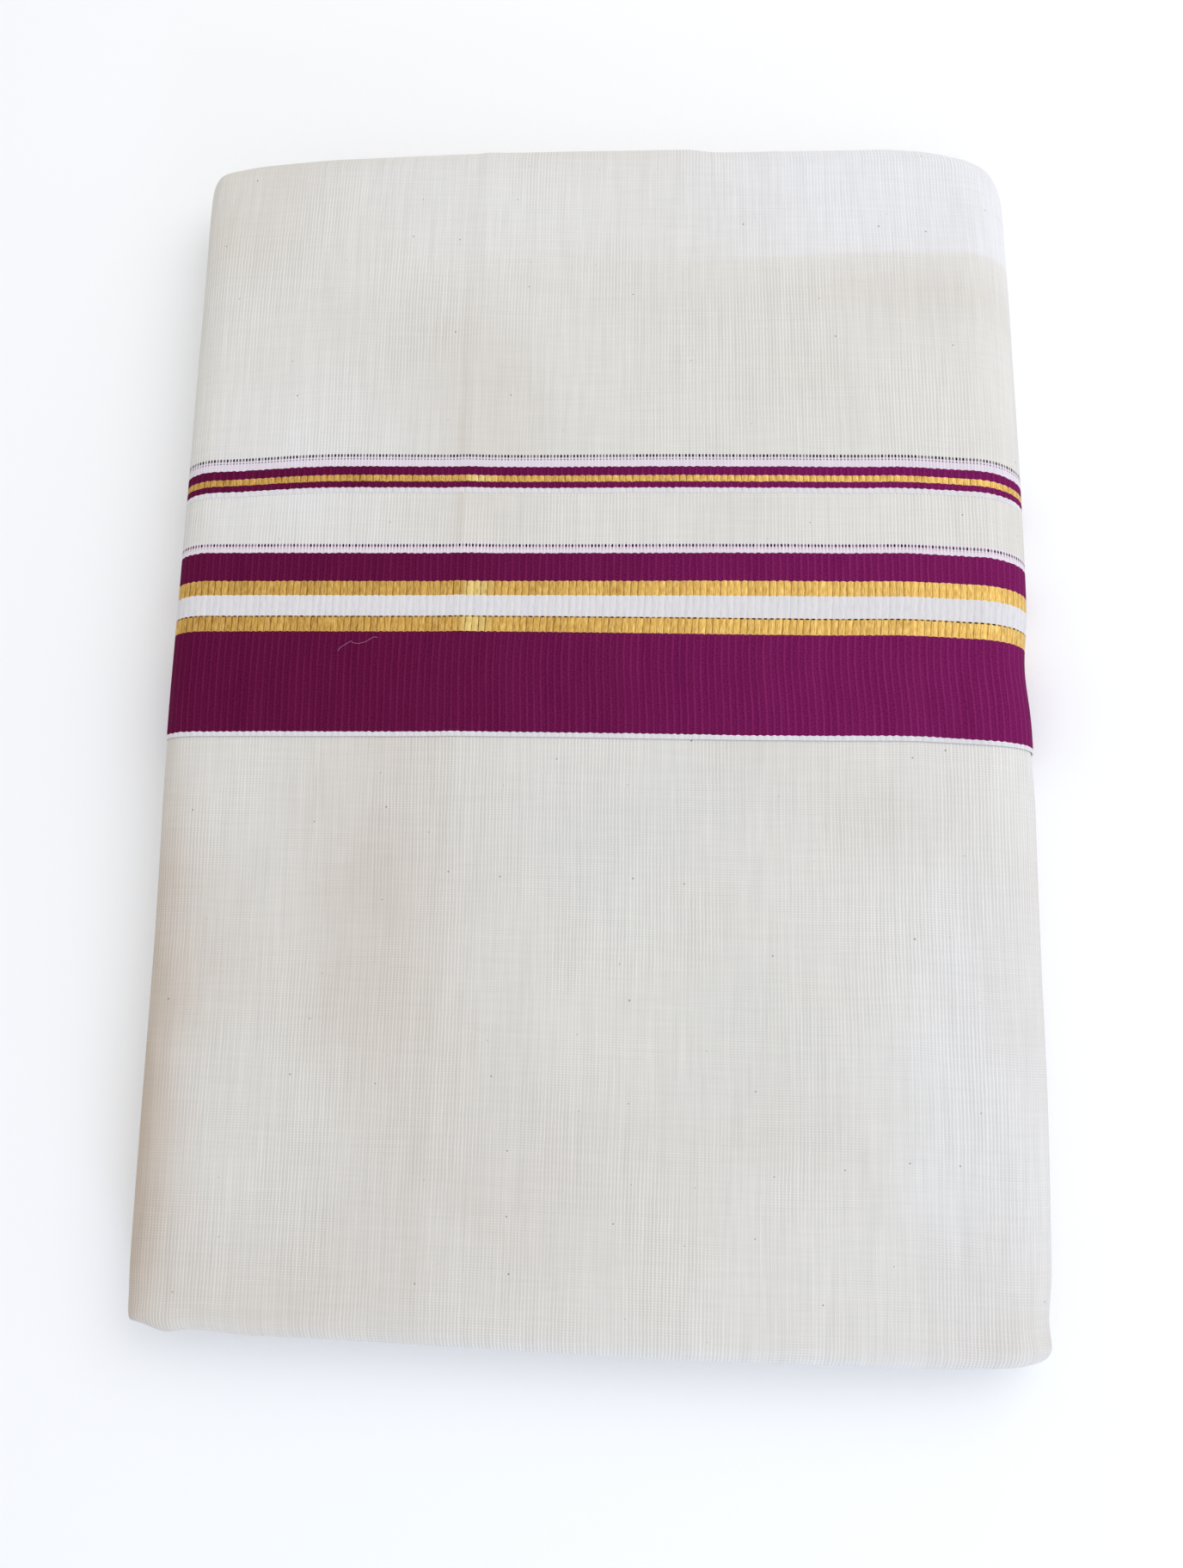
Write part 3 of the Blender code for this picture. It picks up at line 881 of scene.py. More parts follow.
def strand_stations():
    """Stations along the strand of strips, each a run at an X or an angle of a turn."""
    stations = []
    for place, strip in enumerate(STRAND):
        direction = 1 if place % 2 == 0 else -1
        turn = left_turn(strip)
        left = turn_centre(turn) if turn else -HALF_WIDTH + CUT_INSET
        right = turn_centre(RIGHT_TURN)
        ends = (left, right) if direction > 0 else (right, left)
        for step in range(RUN_ROWS + 1):
            x = ends[0] + (ends[1] - ends[0]) * step / RUN_ROWS
            stations.append({"strip": strip, "direction": direction, "x": x, "turn": None})
        if place + 1 == len(STRAND):
            break
        turn = RIGHT_TURN if direction > 0 else turn
        rise = 1 if strip > turn["middle"] else -1
        outside = rise * -direction
        count = 10 + round(2 * abs(strip - turn["middle"]))
        for step in range(1, count):
            stations.append(
                {
                    "strip": strip,
                    "direction": direction,
                    "turn": turn,
                    "rise": rise,
                    "outside": outside,
                    "angle": math.pi * step / count,
                }
            )
    return stations


def strand_x(station, offset):
    """X of a station before the sides are drawn in, at an offset in strips."""
    turn = station["turn"]
    if turn is None:
        return station["x"]
    reach = abs(station["strip"] - turn["middle"]) + station["outside"] * offset
    depth = turn["depth"] - (turn["reach"] - reach) * turn["spread"]
    return turn_centre(turn) + station["direction"] * depth * math.sin(station["angle"])


def hidden_frame(x, frame_x, y):
    """Base and top of the hidden plies, which stay under the outer ply's folds."""
    distance = min(far_end(x) - y, y - near_end(x))
    share = quadrant(distance - HIDDEN_DROP, END_ROUND - HIDDEN_DROP)
    return END_LIFT * share, pressed_height(frame_x, y) - END_DROP * share, share


def strand_point(station, offset, y):
    """Point of the strand at a station, an offset toward the flap's side in strips, and y."""
    x = strand_x(station, offset)
    turn = station["turn"]
    if turn is None:
        level = station["strip"] - station["direction"] * offset
        frame_x = x
    else:
        reach = abs(station["strip"] - turn["middle"]) + station["outside"] * offset
        level = turn["middle"] + station["rise"] * reach * math.cos(station["angle"])
        frame_x = HALF_WIDTH - RIGHT_ROUND if turn is RIGHT_TURN else -HALF_WIDTH + LEFT_ROUND
    base, top, share = hidden_frame(x, frame_x, y)
    pull = END_PULL * share
    left, right = left_edge(y) + pull, right_edge(y) - pull
    across = (x + HALF_WIDTH) / (2.0 * HALF_WIDTH)
    height = base + (top - base) * (1.0 - (level - 0.5) / STRIPS)
    return shape_edge(Vector((left + (right - left) * across, y, height)), y)


def under_outer_ply(station):
    """Whether the outer ply's own fold already closes the flap's side of a station."""
    strip, turn = station["strip"], station["turn"]
    if strip in (1, 16):
        return True
    if strip == 8:
        inner = -HALF_WIDTH + LEFT_ROUND + TUCK
        return turn is not None or station["x"] < inner
    return strip == 13 and turn is None and station["x"] < -HALF_WIDTH + LOW_ROUND + TUCK


def fold_profile(middle, half, radius, reach):
    """Offsets and distances in from the tip of a fold edge with its two plies."""
    rows = [(middle + half, distance) for distance in (reach, 0.4 * reach, 0.0012)]
    for step in range(7):
        angle = math.pi * step / 6.0
        rows.append((middle + half * math.cos(angle), radius * (1.0 - math.sin(angle))))
    rows += [(middle - half, distance) for distance in (0.0012, 0.4 * reach, reach)]
    return rows


def edge_grids(stations, profile, end, skip, sizes, seed):
    """Grids of one fold edge swept along the strand, left out where skip says so."""
    grids, grid, across = [], [], 0.0
    before = None
    out = 1.0 if end == "far" else -1.0
    for station in stations:
        x = strand_x(station, 0.0)
        spot = strand_point(station, 0.0, 0.0)
        if before is not None:
            across += (spot - before).length
        before = spot
        if skip(station):
            if len(grid) > 1:
                grids.append(grid)
            grid = []
            continue
        wander = noise.noise(Vector((across * FOLD_WANDER["slow"], seed, 0.5)))
        ripple = noise.noise(Vector((across * FOLD_WANDER["quick"], seed, 4.5)))
        ripple_share = FOLD_WANDER["quick_share"]
        setback = sizes.setback + sizes.uneven * wander + ripple_share * sizes.uneven * ripple
        if end == "far" and station["strip"] == SECOND_PLY["strip"] and station["turn"] is None:
            left, right, fade = SECOND_PLY["left"], SECOND_PLY["right"], SECOND_PLY["fade"]
            shows = smooth(left - fade, left, x) * (1.0 - smooth(right, right + fade, x))
            setback -= SECOND_PLY["out"] * shows
        column = []
        for offset, distance in profile:
            x = strand_x(station, offset)
            tip = far_end(x) if end == "far" else near_end(x)
            y = tip - out * (setback + distance)
            column.append((strand_point(station, offset, y), (across, cloth_along(x, y))))
        grid.append(column)
    if len(grid) > 1:
        grids.append(grid)
    return grids


def end_edge_grids(end, sizes):
    """Folds and woven edges of every strip at the far or the near end."""
    stations = strand_stations()
    grids = []
    for row in STRIP_EDGES[end]:
        profile = fold_profile(row["middle"], row["half"], row["radius"], sizes.fold_return)
        skip = under_outer_ply if row["covered"] else lambda station: False
        grids += edge_grids(stations, profile, end, skip, sizes, sizes.seed + row["seed"])
    return grids


def side_rows():
    """Y places of the left edges from the near to the far end, as shares."""
    return [step / SIDE_ROWS for step in range(SIDE_ROWS + 1)]


def small_turn_grid(sizes):
    """The small turn between strips 12 and 11, whose bordered side faces out."""
    profile = []
    strip, turn = 12, SMALL_TURN
    centre = turn_centre(turn)
    for step in range(4):
        x = centre + sizes.fold_return * (1.0 - step / 4.0)
        profile.append({"strip": strip, "direction": -1, "x": x, "turn": None})
    for step in range(11):
        angle = math.pi * step / 10.0
        station = {"strip": strip, "direction": -1, "turn": turn}
        station.update({"rise": 1, "outside": 1, "angle": angle})
        profile.append(station)
    for step in range(1, 5):
        x = centre + sizes.fold_return * step / 4.0
        profile.append({"strip": 11, "direction": 1, "x": x, "turn": None})
    grid, across, before = [], 0.0, None
    for station in profile:
        x = strand_x(station, 0.47)
        start, end = near_end(x) + sizes.setback, far_end(x) - sizes.setback
        column = []
        for share in side_rows():
            y = start + (end - start) * share
            step = smooth(-0.0006, 0.0006, y - selvedge(x))
            offset = 0.36 + 0.11 * step
            column.append((strand_point(station, offset, y), (across, cloth_along(x, y))))
        if before is not None:
            across += (column[SIDE_ROWS // 2][0] - before).length
            column = [(point, (across, place[1])) for point, place in column]
        before = column[SIDE_ROWS // 2][0]
        grid.append(column)
    return grid


def cut_ply_grid(strip, direction, ply, sizes, seed):
    """One ply's cut edge on the left side, with its rounded lip and both faces."""
    thick, radius, straight = CUT_PLY["half"], CUT_PLY["radius"], CUT_PLY["straight"]
    reach = sizes.fold_return
    rows = [(thick, reach), (thick, straight)]
    for step in range(5):
        angle = math.pi * step / 4.0
        rows.append((thick * math.cos(angle), radius * (1.0 - math.sin(angle))))
    rows += [(-thick, straight), (-thick, reach)]
    grid = []
    for half, inset in rows:
        column = []
        for share in side_rows():
            x = -HALF_WIDTH + CUT_INSET + inset
            start = selvedge(x) if ply == 0 else near_end(x) + 2.0 * sizes.setback
            end = far_end(x) - 2.0 * sizes.setback
            y = start + (end - start) * share
            wander = noise.noise(Vector((y * CUT_WANDER["slow"], seed, 2.5)))
            fray = noise.noise(Vector((y * CUT_WANDER["quick"], seed, 9.5)))
            x += CUT_WANDER["wander"] * wander + CUT_WANDER["fray"] * fray
            ramp = smooth(RAMP_NEAR, RAMP_FAR, y)
            place = NEAR_PLIES[ply] + (FAR_PLIES[ply] - NEAR_PLIES[ply]) * ramp
            station = {"strip": strip, "direction": direction, "x": x, "turn": None}
            point = strand_point(station, place + half, y)
            column.append((point, (inset + half * 0.001, cloth_along(x, y))))
        grid.append(column)
    return grid


def left_edge_grids(sizes):
    """The small turn and the two cut ends that show at the left side."""
    grids = [small_turn_grid(sizes)]
    for strip, direction in ((9, 1), (10, -1)):
        for ply in range(4):
            seed = sizes.seed + 3 * ply + strip
            grids.append(cut_ply_grid(strip, direction, ply, sizes, seed))
    return grids


class Nodes:
    """Short calls that add nodes to one tree and give back their outputs."""

    def __init__(self, tree):
        self.tree = tree

    def put(self, kind, **settings):
        """Add a node with its settings."""
        node = self.tree.nodes.new(kind)
        for name, value in settings.items():
            setattr(node, name, value)
        return node

    def feed(self, socket, value):
        """Join a socket to an output, or give it a plain value."""
        if isinstance(value, bpy.types.NodeSocket):
            self.tree.links.new(value, socket)
        elif hasattr(value, "__len__") and len(value) == 3 and socket.type == "RGBA":
            socket.default_value = (*value, 1.0)
        else:
            socket.default_value = value

    def use(self, group, values):
        """Place a node group and give its inputs their values by name."""
        node = self.put("ShaderNodeGroup", node_tree=group)
        for label, value in values.items():
            self.feed(node.inputs[label], value)
        return node.outputs

    def math(self, operation, *values, clamp=False):
        """One, two or three values joined by a math node."""
        node = self.put("ShaderNodeMath", operation=operation, use_clamp=clamp)
        for socket, value in zip(node.inputs, values):
            self.feed(socket, value)
        return node.outputs[0]

    def plus(self, first, second):
        """Sum of two values."""
        return self.math("ADD", first, second)

    def minus(self, first, second):
        """Difference of two values."""
        return self.math("SUBTRACT", first, second)

    def times(self, first, second, clamp=False):
        """Product of two values."""
        return self.math("MULTIPLY", first, second, clamp=clamp)

    def over(self, first, second):
        """Quotient of two values."""
        return self.math("DIVIDE", first, second)

    def mad(self, first, second, third, clamp=False):
        """Product of two values, plus a third."""
        return self.math("MULTIPLY_ADD", first, second, third, clamp=clamp)

    def wave(self, turns, rate=2.0):
        """Wave from 0 to 1, at its highest at whole turns; rate 2 goes round once a turn."""
        return self.mad(self.math("COSINE", self.times(turns, rate * math.pi)), 0.5, 0.5)

    def step(self, value, low, high, out_low=0.0, out_high=1.0):
        """Smooth step between two values."""
        node = self.put("ShaderNodeMapRange", interpolation_type="SMOOTHSTEP")
        for socket, part in zip(node.inputs, (value, low, high, out_low, out_high)):
            self.feed(socket, part)
        return node.outputs[0]

    def mix(self, share, first, second, mode="MIX"):
        """Mix of two colours."""
        node = self.put("ShaderNodeMix", data_type="RGBA", blend_type=mode)
        for index, part in ((0, share), (6, first), (7, second)):
            self.feed(node.inputs[index], part)
        return node.outputs[2]

    def place(self, across, along):
        """Vector of a place on the cloth."""
        node = self.put("ShaderNodeCombineXYZ")
        self.feed(node.inputs[0], across)
        self.feed(node.inputs[1], along)
        return node

    def noise(self, across, along, scale_across, scale_along, detail=2.0, depth=0.0):
        """Noise from 0 to 1 at a place in millimetres, with its own scale each way."""
        spot = self.place(self.times(across, scale_across), self.times(along, scale_along))
        spot.inputs[2].default_value = depth
        node = self.put("ShaderNodeTexNoise")
        self.feed(node.inputs["Vector"], spot.outputs[0])
        node.inputs["Scale"].default_value = 1.0
        node.inputs["Detail"].default_value = detail
        return node.outputs["Fac"]


def node_group(name, inputs, *outputs):
    """Turn a builder into a function that gives its node group, built on the first call.

    An input's kind follows from its default: a number, a colour, or None for a vector. The
    builder gets the tree's helper and the inputs, and returns the outputs by name.
    """

    def wrap(build):
        def shared():
            group = bpy.data.node_groups.get(name)
            if group:
                return group
            group = bpy.data.node_groups.new(name, "ShaderNodeTree")
            for label, default in inputs.items():
                kind = "Float" if isinstance(default, float) else "Color" if default else "Vector"
                socket = group.interface.new_socket(
                    label, in_out="INPUT", socket_type="NodeSocket" + kind
                )
                if default is not None:
                    socket.default_value = (*default, 1.0) if kind == "Color" else default
            for label in outputs:
                kind = "Color" if label == "Colour" else "Float"
                group.interface.new_socket(
                    label, in_out="OUTPUT", socket_type="NodeSocket" + kind
                )
            nodes = Nodes(group)
            source = nodes.put("NodeGroupInput").outputs
            ends = nodes.put("NodeGroupOutput").inputs
            for label, value in build(nodes, source).items():
                nodes.feed(ends[label], value)
            return group

        return shared

    return wrap


@node_group(
    "cloth_place",
    {"Cloth Map": None, "Wander": 0.7},
    "Across", "Along",
)
def cloth_place(n, source):
    """Places on the cloth in millimetres, with yarns that wander a little."""
    parts = n.put("ShaderNodeSeparateXYZ")
    n.feed(parts.inputs[0], source["Cloth Map"])
    across = n.times(parts.outputs[0], 1000.0)
    along = n.times(parts.outputs[1], 1000.0)
    wide = n.minus(n.noise(across, along, 0.05, 0.03, 0.0), 0.5)
    fine = n.minus(n.noise(across, along, 0.5, 0.25, 0.0, 3.0), 0.5)
    shift = n.mad(fine, 0.35, wide)
    sway = n.minus(n.noise(across, along, 0.02, 0.02, 0.0, 7.0), 0.5)
    return {
        "Across": n.mad(shift, source["Wander"], across),
        "Along": n.mad(sway, 0.5, along),
    }


@node_group(
    "rib_weave",
    {"Across": 0.0, "Along": 0.0, "Rib Pitch": 2.0, "Thread Pitch": 0.5},
    "Rib", "Groove", "Thread", "Yarn", "Single", "Half Rib", "Height",
)
def rib_weave(n, source):
    """Ribs along the cloth, threads across them and uneven yarns."""
    phase = n.over(source["Across"], source["Rib Pitch"])
    number = n.math("ROUND", phase)
    rib = n.wave(phase)
    groove = n.step(rib, 0.14, 0.0)
    turns = n.over(source["Along"], source["Thread Pitch"])
    thread = n.wave(n.mad(number, 0.5, turns))
    single = n.noise(number, source["Along"], 0.73, 0.03, 0.0, 1.5)
    streak = n.noise(source["Across"], source["Along"], 1.7, 0.11, 1.0, 4.5)
    height = n.mad(n.times(rib, thread), 0.12, n.math("POWER", rib, 0.6))
    return {
        "Rib": rib, "Groove": groove, "Thread": thread, "Yarn": streak, "Single": single,
        "Half Rib": n.wave(phase, 4.0), "Height": height,
    }


@node_group(
    "plain_weave",
    {"Across": 0.0, "Along": 0.0, "Warp Pitch": 0.49, "Weft Pitch": 0.71, "Strength": 1.0},
    "Shade", "Height",
)
def plain_weave(n, source):
    """Fine open weave of the ground, whose lines show more in some places than in others."""
    across, along = source["Across"], source["Along"]
    turns = n.over(across, source["Warp Pitch"])
    warp, pair = n.wave(turns), n.wave(turns, 1.0)
    weft = n.wave(n.over(along, source["Weft Pitch"]))
    upright = n.noise(across, along, 0.08, 0.05, 0.0, 5.5)
    upright = n.step(upright, 0.36, 0.66, 0.02, 0.10)
    level = n.noise(across, along, 0.07, 0.10, 0.0, 8.5)
    level = n.step(level, 0.44, 0.70, 0.0, 0.08)
    double = n.noise(across, along, 0.035, 0.022, 1.0, 3.5)
    double = n.step(double, 0.36, 0.64, 0.05, 0.20)
    dark = n.times(n.minus(0.5, warp), upright)
    dark = n.mad(n.minus(0.5, weft), level, dark)
    dark = n.mad(n.minus(0.5, pair), double, dark)
    long_warp = n.noise(across, along, 1.0, 0.05, 1.0, 2.5)
    long_weft = n.noise(across, along, 0.08, 1.3, 1.0, 6.5)
    uneven = n.mad(n.mad(long_weft, 0.5, long_warp), 0.16, -0.120)
    dark = n.times(n.minus(dark, uneven), source["Strength"])
    return {"Shade": n.minus(1.0, dark), "Height": n.mad(warp, weft, pair)}


PATCH_INPUTS = ("Across", "Along", "Middle Across", "Middle Along", "Half Width", "Half Length")
TONES = ("Cream", "Tan", "Grey", "Pale", "Speck")
YARNS = ("White", "Pink", "Lavender", "Maroon", "Gold")


@node_group(
    "tone_patch",
    dict.fromkeys(PATCH_INPUTS, 1.0),
    "Mask",
)
def tone_patch(n, source):
    """1 in the middle of a soft oval patch, fading to 0 round it."""
    squares = []
    for place, middle, size in (PATCH_INPUTS[0::2], PATCH_INPUTS[1::2]):
        offset = n.minus(source[place], source[middle])
        offset = n.over(offset, source[size])
        squares.append(n.times(offset, offset))
    return {"Mask": n.math("EXPONENT", n.times(n.plus(*squares), -1.0))}


@node_group(
    "cotton_tone",
    {**dict.fromkeys(TONES, (0.6, 0.6, 0.6)), "Across": 0.0, "Along": 0.0, "Patches": 0.2,
     "Specks": 0.7},
    "Colour",
)
def cotton_tone(n, source):
    """Soft warm, cool and pale patches, partly the cotton's own tone and partly painted light and
    shade, and sparse specks in the cotton.
    """
    across, along = source["Across"], source["Along"]
    warm = n.step(n.noise(across, along, 0.014, 0.011, 1.0, 2.0), 0.42, 0.70)
    cool = n.step(n.noise(across, along, 0.016, 0.012, 1.0, 9.0), 0.44, 0.72)
    warm = n.times(warm, source["Patches"])
    cool = n.times(cool, source["Patches"])
    colour = n.mix(warm, source["Cream"], source["Tan"])
    colour = n.mix(cool, colour, source["Grey"])
    ragged = n.noise(across, along, 0.05, 0.04, 1.0, 4.0)
    ragged = n.mad(ragged, 1.0, 0.5)
    for x, y, wide, tall, tone, strength in PATCHES:
        size = (across, along, x, y - SELVEDGE_Y / MM, wide, tall)
        patch = n.use(tone_patch(), dict(zip(PATCH_INPUTS, size)))
        share = n.times(patch["Mask"], strength)
        share = n.times(share, ragged, clamp=True)
        colour = n.mix(share, colour, source[tone])
    # Painted light: beyond a soft line at the far right the cloth is lighter
    edge = n.mad(across, -PAINTED_LIGHT_EDGE["slope"], along)
    edge = n.step(edge, PAINTED_LIGHT_EDGE["along"] - 0.8, PAINTED_LIGHT_EDGE["along"] + 1.8)
    shows = n.step(across, PAINTED_LIGHT_EDGE["from"], PAINTED_LIGHT_EDGE["full"])
    share = n.times(n.times(edge, shows), PAINTED_LIGHT_EDGE["strength"])
    colour = n.mix(share, colour, source["Pale"])
    cells = n.put("ShaderNodeTexVoronoi", voronoi_dimensions="2D")
    n.feed(cells.inputs["Vector"], n.place(across, along).outputs[0])
    cells.inputs["Scale"].default_value = 0.055
    parts = n.put("ShaderNodeSeparateColor")
    n.feed(parts.inputs[0], cells.outputs["Color"])
    size = n.mad(parts.outputs[1], 0.010, 0.005)
    spot = n.math("LESS_THAN", cells.outputs["Distance"], size)
    chosen = n.math("GREATER_THAN", parts.outputs[0], 0.45)
    spot = n.times(n.times(spot, chosen), source["Specks"])
    return {"Colour": n.mix(spot, colour, source["Speck"])}


@node_group(
    "openwork_row",
    {"Across": 0.0, "Along": 0.0, "Middle": 0.0, "Pitch": 1.0, "Half Width": 0.3,
     "Half Length": 0.4, "Strength": 0.9},
    "Mask",
)
def openwork_row(n, source):
    """One row of small open places or dashes across the cloth."""
    phase = n.over(source["Across"], source["Pitch"])
    number = n.math("FLOOR", phase)
    beside = n.minus(n.minus(phase, number), 0.5)
    beside = n.times(beside, source["Pitch"])
    beside = n.over(beside, source["Half Width"])
    off = n.minus(source["Along"], source["Middle"])
    off = n.over(off, source["Half Length"])
    squares = n.mad(beside, beside, n.times(off, off))
    mask = n.step(n.math("SQRT", squares), 1.2, 0.7)
    paired = n.math("PINGPONG", number, 1.0)
    chance = n.put("ShaderNodeTexWhiteNoise", noise_dimensions="2D")
    n.feed(chance.inputs["Vector"], n.place(number, source["Middle"]).outputs[0])
    share = n.mad(paired, 0.18, 0.58)
    share = n.mad(chance.outputs["Value"], 0.42, share, clamp=True)
    share = n.times(share, source["Strength"])
    return {"Mask": n.times(mask, share)}


def band_ramp(n, along, yarns):
    """Masks of up to three yarns as the red, green and blue of one stepped ramp."""
    node = n.put("ShaderNodeValToRGB")
    n.feed(node.inputs[0], along)
    ramp = node.color_ramp
    ramp.interpolation = "CONSTANT"
    ramp.elements.remove(ramp.elements[1])
    for number, (start, yarn) in enumerate(BANDS):
        place = (start + 1.0) / BAND_SPAN
        element = ramp.elements.new(place) if number else ramp.elements[0]
        element.position = place
        element.color = (*[1.0 if yarn == name else 0.0 for name in yarns], 1.0)
    parts = n.put("ShaderNodeSeparateColor")
    n.feed(parts.inputs[0], node.outputs[0])
    return parts.outputs


@node_group(
    "woven_border",
    {**dict.fromkeys(("Ground", "Openwork") + YARNS, (0.5, 0.5, 0.5)), "Across": 0.0,
     "Along": 0.0, "Rib": 0.5},
    "Colour", "Gold Mask", "Rib Mask",
)
def woven_border(n, source):
    """Colours of the woven border by the distance from the selvedge."""
    ragged = n.noise(source["Across"], source["Along"], 0.9, 0.9, 0.0, 6.0)
    edge = n.mad(ragged, 0.30, -0.15)
    scallop = n.minus(source["Rib"], 0.5)
    edge = n.mad(scallop, -0.16, edge)
    along = n.plus(n.plus(source["Along"], edge), 1.0)
    on_flap = n.math("GREATER_THAN", source["Along"], -0.25)
    along = n.over(n.math("MAXIMUM", along, 0.0), BAND_SPAN)
    masks = {}
    for names in (("Maroon", "Gold", "White"), ("Pink", "Lavender", "")):
        masks.update(zip(names, band_ramp(n, along, names)))
    colour = source["Ground"]
    for yarn in YARNS:
        share = n.times(masks[yarn], on_flap)
        colour = n.mix(share, colour, source[yarn])
    for row in DOT_ROWS:
        sizes = {
            "Across": source["Across"], "Along": source["Along"], "Middle": row["along"],
            "Pitch": row["pitch"], "Half Width": row["wide"], "Half Length": row["long"],
            "Strength": row["strength"],
        }
        dots = n.use(openwork_row(), sizes)
        colour = n.mix(dots["Mask"], colour, source["Openwork"])
    ribbed = n.plus(n.plus(masks["Maroon"], masks["Gold"]), masks["White"])
    return {
        "Colour": colour,
        "Gold Mask": n.times(masks["Gold"], on_flap),
        "Rib Mask": n.times(ribbed, on_flap),
    }


def border_yarns(n, ribs, dyes, across, along):
    """Colours of the border's ribbed yarns, keyed by the border group's inputs."""
    names = ("Rib", "Groove", "Thread", "Yarn", "Single", "Half Rib")
    rib, groove, thread, yarn, single, half_rib = (ribs[name] for name in names)
    # Painted light: the maroon and the gold turn lighter and cooler toward the right, where the
    # light falls
    right_light_share = n.step(across, -95.0, 115.0)
    speckle = n.noise(across, along, 2.2, 2.2, 0.0, 12.0)
    # Painted light and shade of the ribs: lighter crests and darker grooves, mixed with uneven
    # yarns at random
    crest = n.times(n.math("POWER", rib, 2.5), 0.36)
    crest = n.mad(half_rib, 0.22, crest)
    crest = n.times(crest, n.mad(yarn, 1.6, 0.20))
    crest = n.mad(single, 0.25, crest)
    crest = n.mad(n.minus(speckle, 0.42), 0.95, crest)
    crest = n.mad(thread, 0.05, crest, clamp=True)
    deep = n.mix(right_light_share, dyes["maroon_deep"], dyes["maroon_cool_deep"])
    light = n.mix(right_light_share, dyes["maroon"], dyes["maroon_cool"])
    maroon = n.mix(crest, deep, light)
    fine = n.noise(across, along, 3.0, 0.45, 1.0, 11.0)
    # Painted highlight: glints on the gold yarns, placed at random along fine yarns
    gold_glint_share = n.times(n.step(fine, 0.48, 0.70), 0.42)
    # Painted highlight: a glint on the gold along the lit right flank of the crease near -38 mm
    # across
    shine = n.step(across, -39.5, -36.5, 0.0, 0.7)
    shine = n.times(shine, n.step(across, -28.0, -33.0))
    gold_glint_share = n.math("MAXIMUM", gold_glint_share, shine)
    # Painted shade in the grooves between the gold ribs, with darker yarns and ribs at random
    cut = n.times(groove, n.mad(yarn, 1.3, -0.12))
    gold_darkening = n.mad(n.step(fine, 0.50, 0.34), 0.32, cut)
    dull = n.mad(single, -0.55, 0.40, clamp=True)
    gold_darkening = n.times(n.plus(gold_darkening, dull), 0.85, clamp=True)
    # Painted light: the gold is lighter and less dark toward the right, where the light falls
    gold_glint_share = n.mad(right_light_share, 0.12, gold_glint_share, clamp=True)
    gold_darkening = n.mad(right_light_share, -0.22, n.plus(gold_darkening, 0.13), clamp=True)
    gold = n.mix(gold_glint_share, dyes["gold"], dyes["gold_light"])
    gold = n.mix(gold_darkening, gold, dyes["gold_deep"])
    # Painted shade in the grooves of the white ribs, with darker yarns at random
    shade = n.times(groove, 0.30)
    shade = n.mad(n.step(yarn, 0.6, 0.3), 0.30, shade)
    shade = n.mad(n.step(fine, 0.5, 0.34), 0.30, shade, clamp=True)
    white = n.mix(shade, dyes["white"], dyes["white_deep"])
    return {"Maroon": maroon, "Gold": gold, "White": white}


def cotton_material(name, bordered):
    """Handloom cotton, with or without the woven border."""
    colours, weave = bpy.context.scene.dhoti_colours, bpy.context.scene.dhoti_weave
    dyes = {label: tuple(getattr(colours, label)) for label in colours.__annotations__}
    material = bpy.data.materials.new(name)
    material.use_nodes = True
    n = Nodes(material.node_tree)
    shader = n.tree.nodes["Principled BSDF"].inputs
    cloth_map = n.put("ShaderNodeUVMap", uv_map=CLOTH_MAP)
    place = n.use(cloth_place(), {"Cloth Map": cloth_map.outputs[0]})
    spot = {"Across": place["Across"], "Along": place["Along"]}
    sizes = {"Warp Pitch": weave.warp, "Weft Pitch": weave.weft}
    plain = n.use(plain_weave(), {**spot, **sizes})
    tones = {label: dyes[label.lower()] for label in TONES}
    tone = n.use(cotton_tone(), {**spot, **tones})
    tint = n.put("ShaderNodeCombineColor")
    for socket in tint.inputs:
        n.feed(socket, plain["Shade"])
    surface = n.mix(1.0, tone["Colour"], tint.outputs[0], "MULTIPLY")
    height = n.times(plain["Height"], weave.fine_depth / MM)
    roughness = COTTON_ROUGHNESS
    if bordered:
        ribs = n.use(rib_weave(), {**spot, "Rib Pitch": weave.rib})
        yarns = border_yarns(n, ribs, dyes, *spot.values())
        for label in ("Pink", "Lavender"):
            yarns[label] = n.mix(1.0, dyes[label.lower()], tint.outputs[0], "MULTIPLY")
        others = {"Ground": surface, "Openwork": dyes["hole"], "Rib": ribs["Rib"]}
        border = n.use(woven_border(), {**spot, **yarns, **others})
        surface = border["Colour"]
        raised = n.times(ribs["Height"], weave.rib_depth / MM)
        height = n.mad(border["Rib Mask"], n.minus(raised, height), height)
        n.feed(shader["Metallic"], n.times(border["Gold Mask"], GOLD_METAL))
        roughness = n.mad(border["Gold Mask"], GOLD_SMOOTH, COTTON_ROUGHNESS)
    n.feed(shader["Base Color"], surface)
    n.feed(shader["Roughness"], roughness)
    relief_node = n.put("ShaderNodeBump")
    for label, value in (("Strength", 1.0), ("Distance", MM), ("Height", height)):
        n.feed(relief_node.inputs[label], value)
    n.feed(shader["Normal"], relief_node.outputs[0])
    shader["Specular IOR Level"].default_value = COTTON_SPECULAR
    return material


def finish_for(slot):
    """Handloom material of a slot, made the first time it is asked for."""
    name = slot.replace("cotton", "handloom")
    material = bpy.data.materials.get(name)
    if material:
        return material
    return cotton_material(name, bordered=slot != "plain_cotton")


def even_material(name, colour, roughness):
    """Material of one colour."""
    material = bpy.data.materials.new(name)
    material.use_nodes = True
    shader = material.node_tree.nodes["Principled BSDF"].inputs
    shader["Base Color"].default_value = (*colour, 1.0)
    shader["Roughness"].default_value = roughness
    return material


